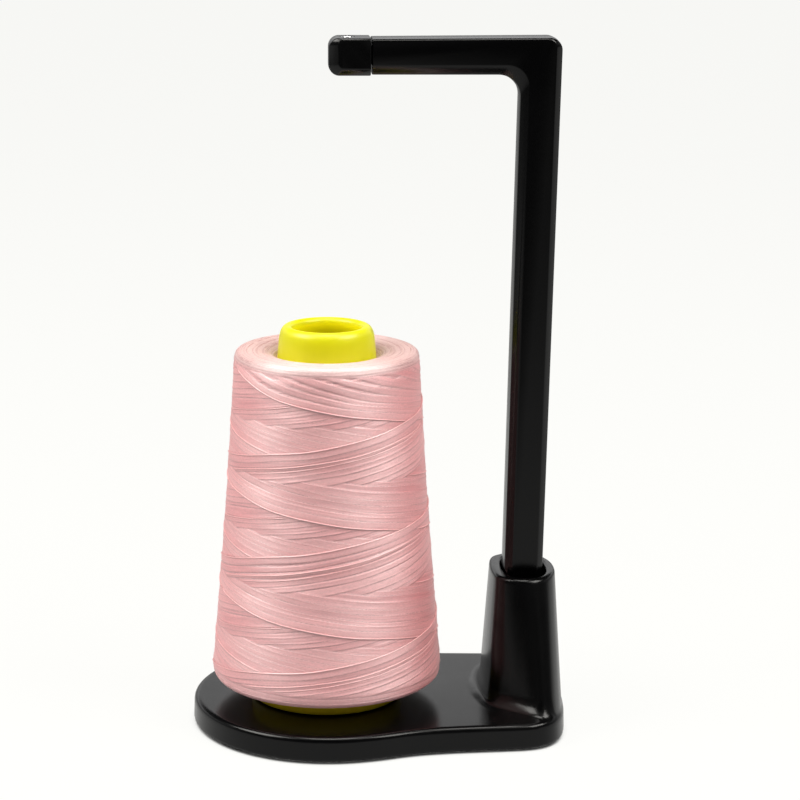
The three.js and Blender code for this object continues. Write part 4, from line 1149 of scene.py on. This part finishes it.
# ------------------------------------------------------------------ stage
def stage():
    rings = [0.0, 0.05, 0.1, 0.2, 0.4, 0.8, 1.6, 3.2, 6.4, 12.0]
    seg = 96
    verts, faces = [(0, 0, 0)], []
    for r in rings[1:]:
        verts += [(r * 1000 * math.cos(a), r * 1000 * math.sin(a), 0) for a in np.linspace(0, 2 * np.pi, seg, endpoint=False)]
    for i in range(seg):
        faces.append((0, 1 + i, 1 + (i + 1) % seg))
    for k in range(len(rings) - 2):
        for i in range(seg):
            j = (i + 1) % seg
            faces.append((1 + k * seg + i, 1 + (k + 1) * seg + i, 1 + (k + 1) * seg + j, 1 + k * seg + j))
    floor = new_object("floor", mesh_of("floor", verts, faces))
    floor.location = (0, 0, -0.00005)
    m = bpy.data.materials.new("floor_paper")
    m.use_nodes = True
    t = m.node_tree
    t.nodes.clear()
    out = t.nodes.new("ShaderNodeOutputMaterial")
    add = t.nodes.new("ShaderNodeAddShader")
    dif = t.nodes.new("ShaderNodeBsdfDiffuse")
    emi = t.nodes.new("ShaderNodeEmission")
    co = t.nodes.new("ShaderNodeTexCoord")
    sep = t.nodes.new("ShaderNodeSeparateXYZ")
    t.links.new(co.outputs["Object"], sep.inputs["Vector"])
    ramp = t.nodes.new("ShaderNodeMapRange")
    ramp.interpolation_type = "SMOOTHSTEP"
    for k, v in zip(("From Min", "From Max", "To Min", "To Max"), (-0.74, -0.06, 0.13, 0.72)):
        ramp.inputs[k].default_value = v
    t.links.new(sep.outputs["Y"], ramp.inputs["Value"])

    def times(a, b):
        n = t.nodes.new("ShaderNodeMath")
        n.operation = "MULTIPLY"
        t.links.new(a, n.inputs[0])
        if isinstance(b, float):
            n.inputs[1].default_value = b
        else:
            t.links.new(b, n.inputs[1])
        return n.outputs[0]

    def falloff(a, b, c, d):
        n = t.nodes.new("ShaderNodeMapRange")
        n.interpolation_type = "SMOOTHSTEP"
        for k, v in zip(("From Min", "From Max", "To Min", "To Max"), (a, b, c, d)):
            n.inputs[k].default_value = v
        t.links.new(sep.outputs["Y"], n.inputs["Value"])
        return n.outputs["Result"]

    pool = times(times(ramp.outputs["Result"], falloff(-1.7, -0.75, 0.3, 1.0)), falloff(0.15, 0.6, 1.0, 0.55))
    # the paper is burnt out to white where it is seen itself, and dimmer in the gloss of the object
    path = t.nodes.new("ShaderNodeLightPath")
    pick = t.nodes.new("ShaderNodeMix")
    t.links.new(path.outputs["Is Camera Ray"], pick.inputs["Factor"])
    t.links.new(pool, pick.inputs["A"])
    t.links.new(falloff(-0.55, 0.15, 0.97, 0.925), pick.inputs["B"])
    # painted contact shadow: the floor's glow is dimmed where the object's edges stand close above it
    under = t.nodes.new("ShaderNodeAmbientOcclusion")
    under.samples, under.only_local = 8, False
    under.inputs["Distance"].default_value = 0.004
    painted_contact_shadow = t.nodes.new("ShaderNodeMapRange")
    for k, v in zip(("From Min", "From Max", "To Min", "To Max"), (0.22, 0.55, 0.0, 1.0)):
        painted_contact_shadow.inputs[k].default_value = v
    t.links.new(under.outputs["AO"], painted_contact_shadow.inputs["Value"])
    dif.inputs["Color"].default_value = (0.04, 0.04, 0.04, 1)
    emi.inputs["Color"].default_value = (1.0, 1.0, 0.975, 1)
    t.links.new(times(pick.outputs["Result"], painted_contact_shadow.outputs["Result"]), emi.inputs["Strength"])
    t.links.new(dif.outputs[0], add.inputs[0])
    t.links.new(emi.outputs[0], add.inputs[1])
    t.links.new(add.outputs[0], out.inputs["Surface"])
    floor.data.materials.append(m)

    w = bpy.data.worlds.new("studio")
    bpy.context.scene.world = w
    w.use_nodes = True
    t = w.node_tree
    bg = t.nodes["Background"]
    co = t.nodes.new("ShaderNodeTexCoord")
    sep = t.nodes.new("ShaderNodeSeparateXYZ")
    t.links.new(co.outputs["Generated"], sep.inputs["Vector"])

    def span(src, a, b, c, d):
        n = t.nodes.new("ShaderNodeMapRange")
        n.interpolation_type = "SMOOTHSTEP"
        for k, v in zip(("From Min", "From Max", "To Min", "To Max"), (a, b, c, d)):
            n.inputs[k].default_value = v
        t.links.new(src, n.inputs["Value"])
        return n.outputs["Result"]

    # a bright strip low behind the object
    band = span(sep.outputs["Z"], 0.335, 0.42, 1.0, 0.0)
    rise = span(sep.outputs["Z"], 0.10, 0.30, 0.40, 1.25)
    back = span(sep.outputs["Y"], -0.4, 0.9, 0.10, 1.0)
    mul0 = t.nodes.new("ShaderNodeMath")
    mul0.operation = "MULTIPLY"
    t.links.new(band, mul0.inputs[0])
    t.links.new(rise, mul0.inputs[1])
    mul = t.nodes.new("ShaderNodeMath")
    mul.operation = "MULTIPLY"
    t.links.new(mul0.outputs[0], mul.inputs[0])
    t.links.new(back, mul.inputs[1])
    plus = t.nodes.new("ShaderNodeMath")
    plus.operation = "ADD"
    t.links.new(mul.outputs[0], plus.inputs[0])
    plus.inputs[1].default_value = 0.02
    bg.inputs["Color"].default_value = (1.0, 1.0, 1.0, 1)
    t.links.new(plus.outputs[0], bg.inputs["Strength"])

    def softbox(name, azimuth, elevation, distance, size_x, size_y, power, aim=(0.0, 0.0, 0.09)):
        light = bpy.data.lights.new(name, "AREA")
        light.shape, light.size, light.size_y, light.energy = "RECTANGLE", size_x, size_y, power
        light.color = (1.0, 0.98, 0.935)
        ob = new_object(name, light)
        a, e = math.radians(azimuth), math.radians(elevation)
        p = Vector((math.sin(a) * math.cos(e), -math.cos(a) * math.cos(e), math.sin(e))) * distance + Vector(aim)
        ob.location = p
        ob.rotation_euler = (Vector(aim) - p).to_track_quat("-Z", "Y").to_euler()
        return ob

    softbox("soft_left", -80, 46, 1.0, 0.6, 0.5, 11.0)
    softbox("soft_right", 62, 46, 1.0, 0.55, 0.5, 10.3)
    softbox("soft_top", 0, 84, 1.0, 0.5, 0.45, 7.0)
    softbox("soft_front", -6, 58, 1.0, 0.8, 0.45, 0.6)


stage()

camera_data = bpy.data.cameras.new("camera")
camera_data.sensor_width, camera_data.lens = 36.0, 112.5
camera_data.clip_start, camera_data.clip_end = 0.02, 40.0
camera = new_object("camera", camera_data)
right, up, view = (0.99808076, -0.06155463, 0.0067691), (0.00763424, 0.23078282, 0.97297534), (0.06145333, 0.97105629, -0.23080981)
place = Matrix.Identity(4)
for r in range(3):
    place[r][0], place[r][1], place[r][2] = right[r], up[r], -view[r]
place.translation = Vector((-0.038556, -0.698059, 0.261466))
camera.matrix_world = place
bpy.context.scene.camera = camera
bpy.context.scene.view_settings.view_transform = "Standard"
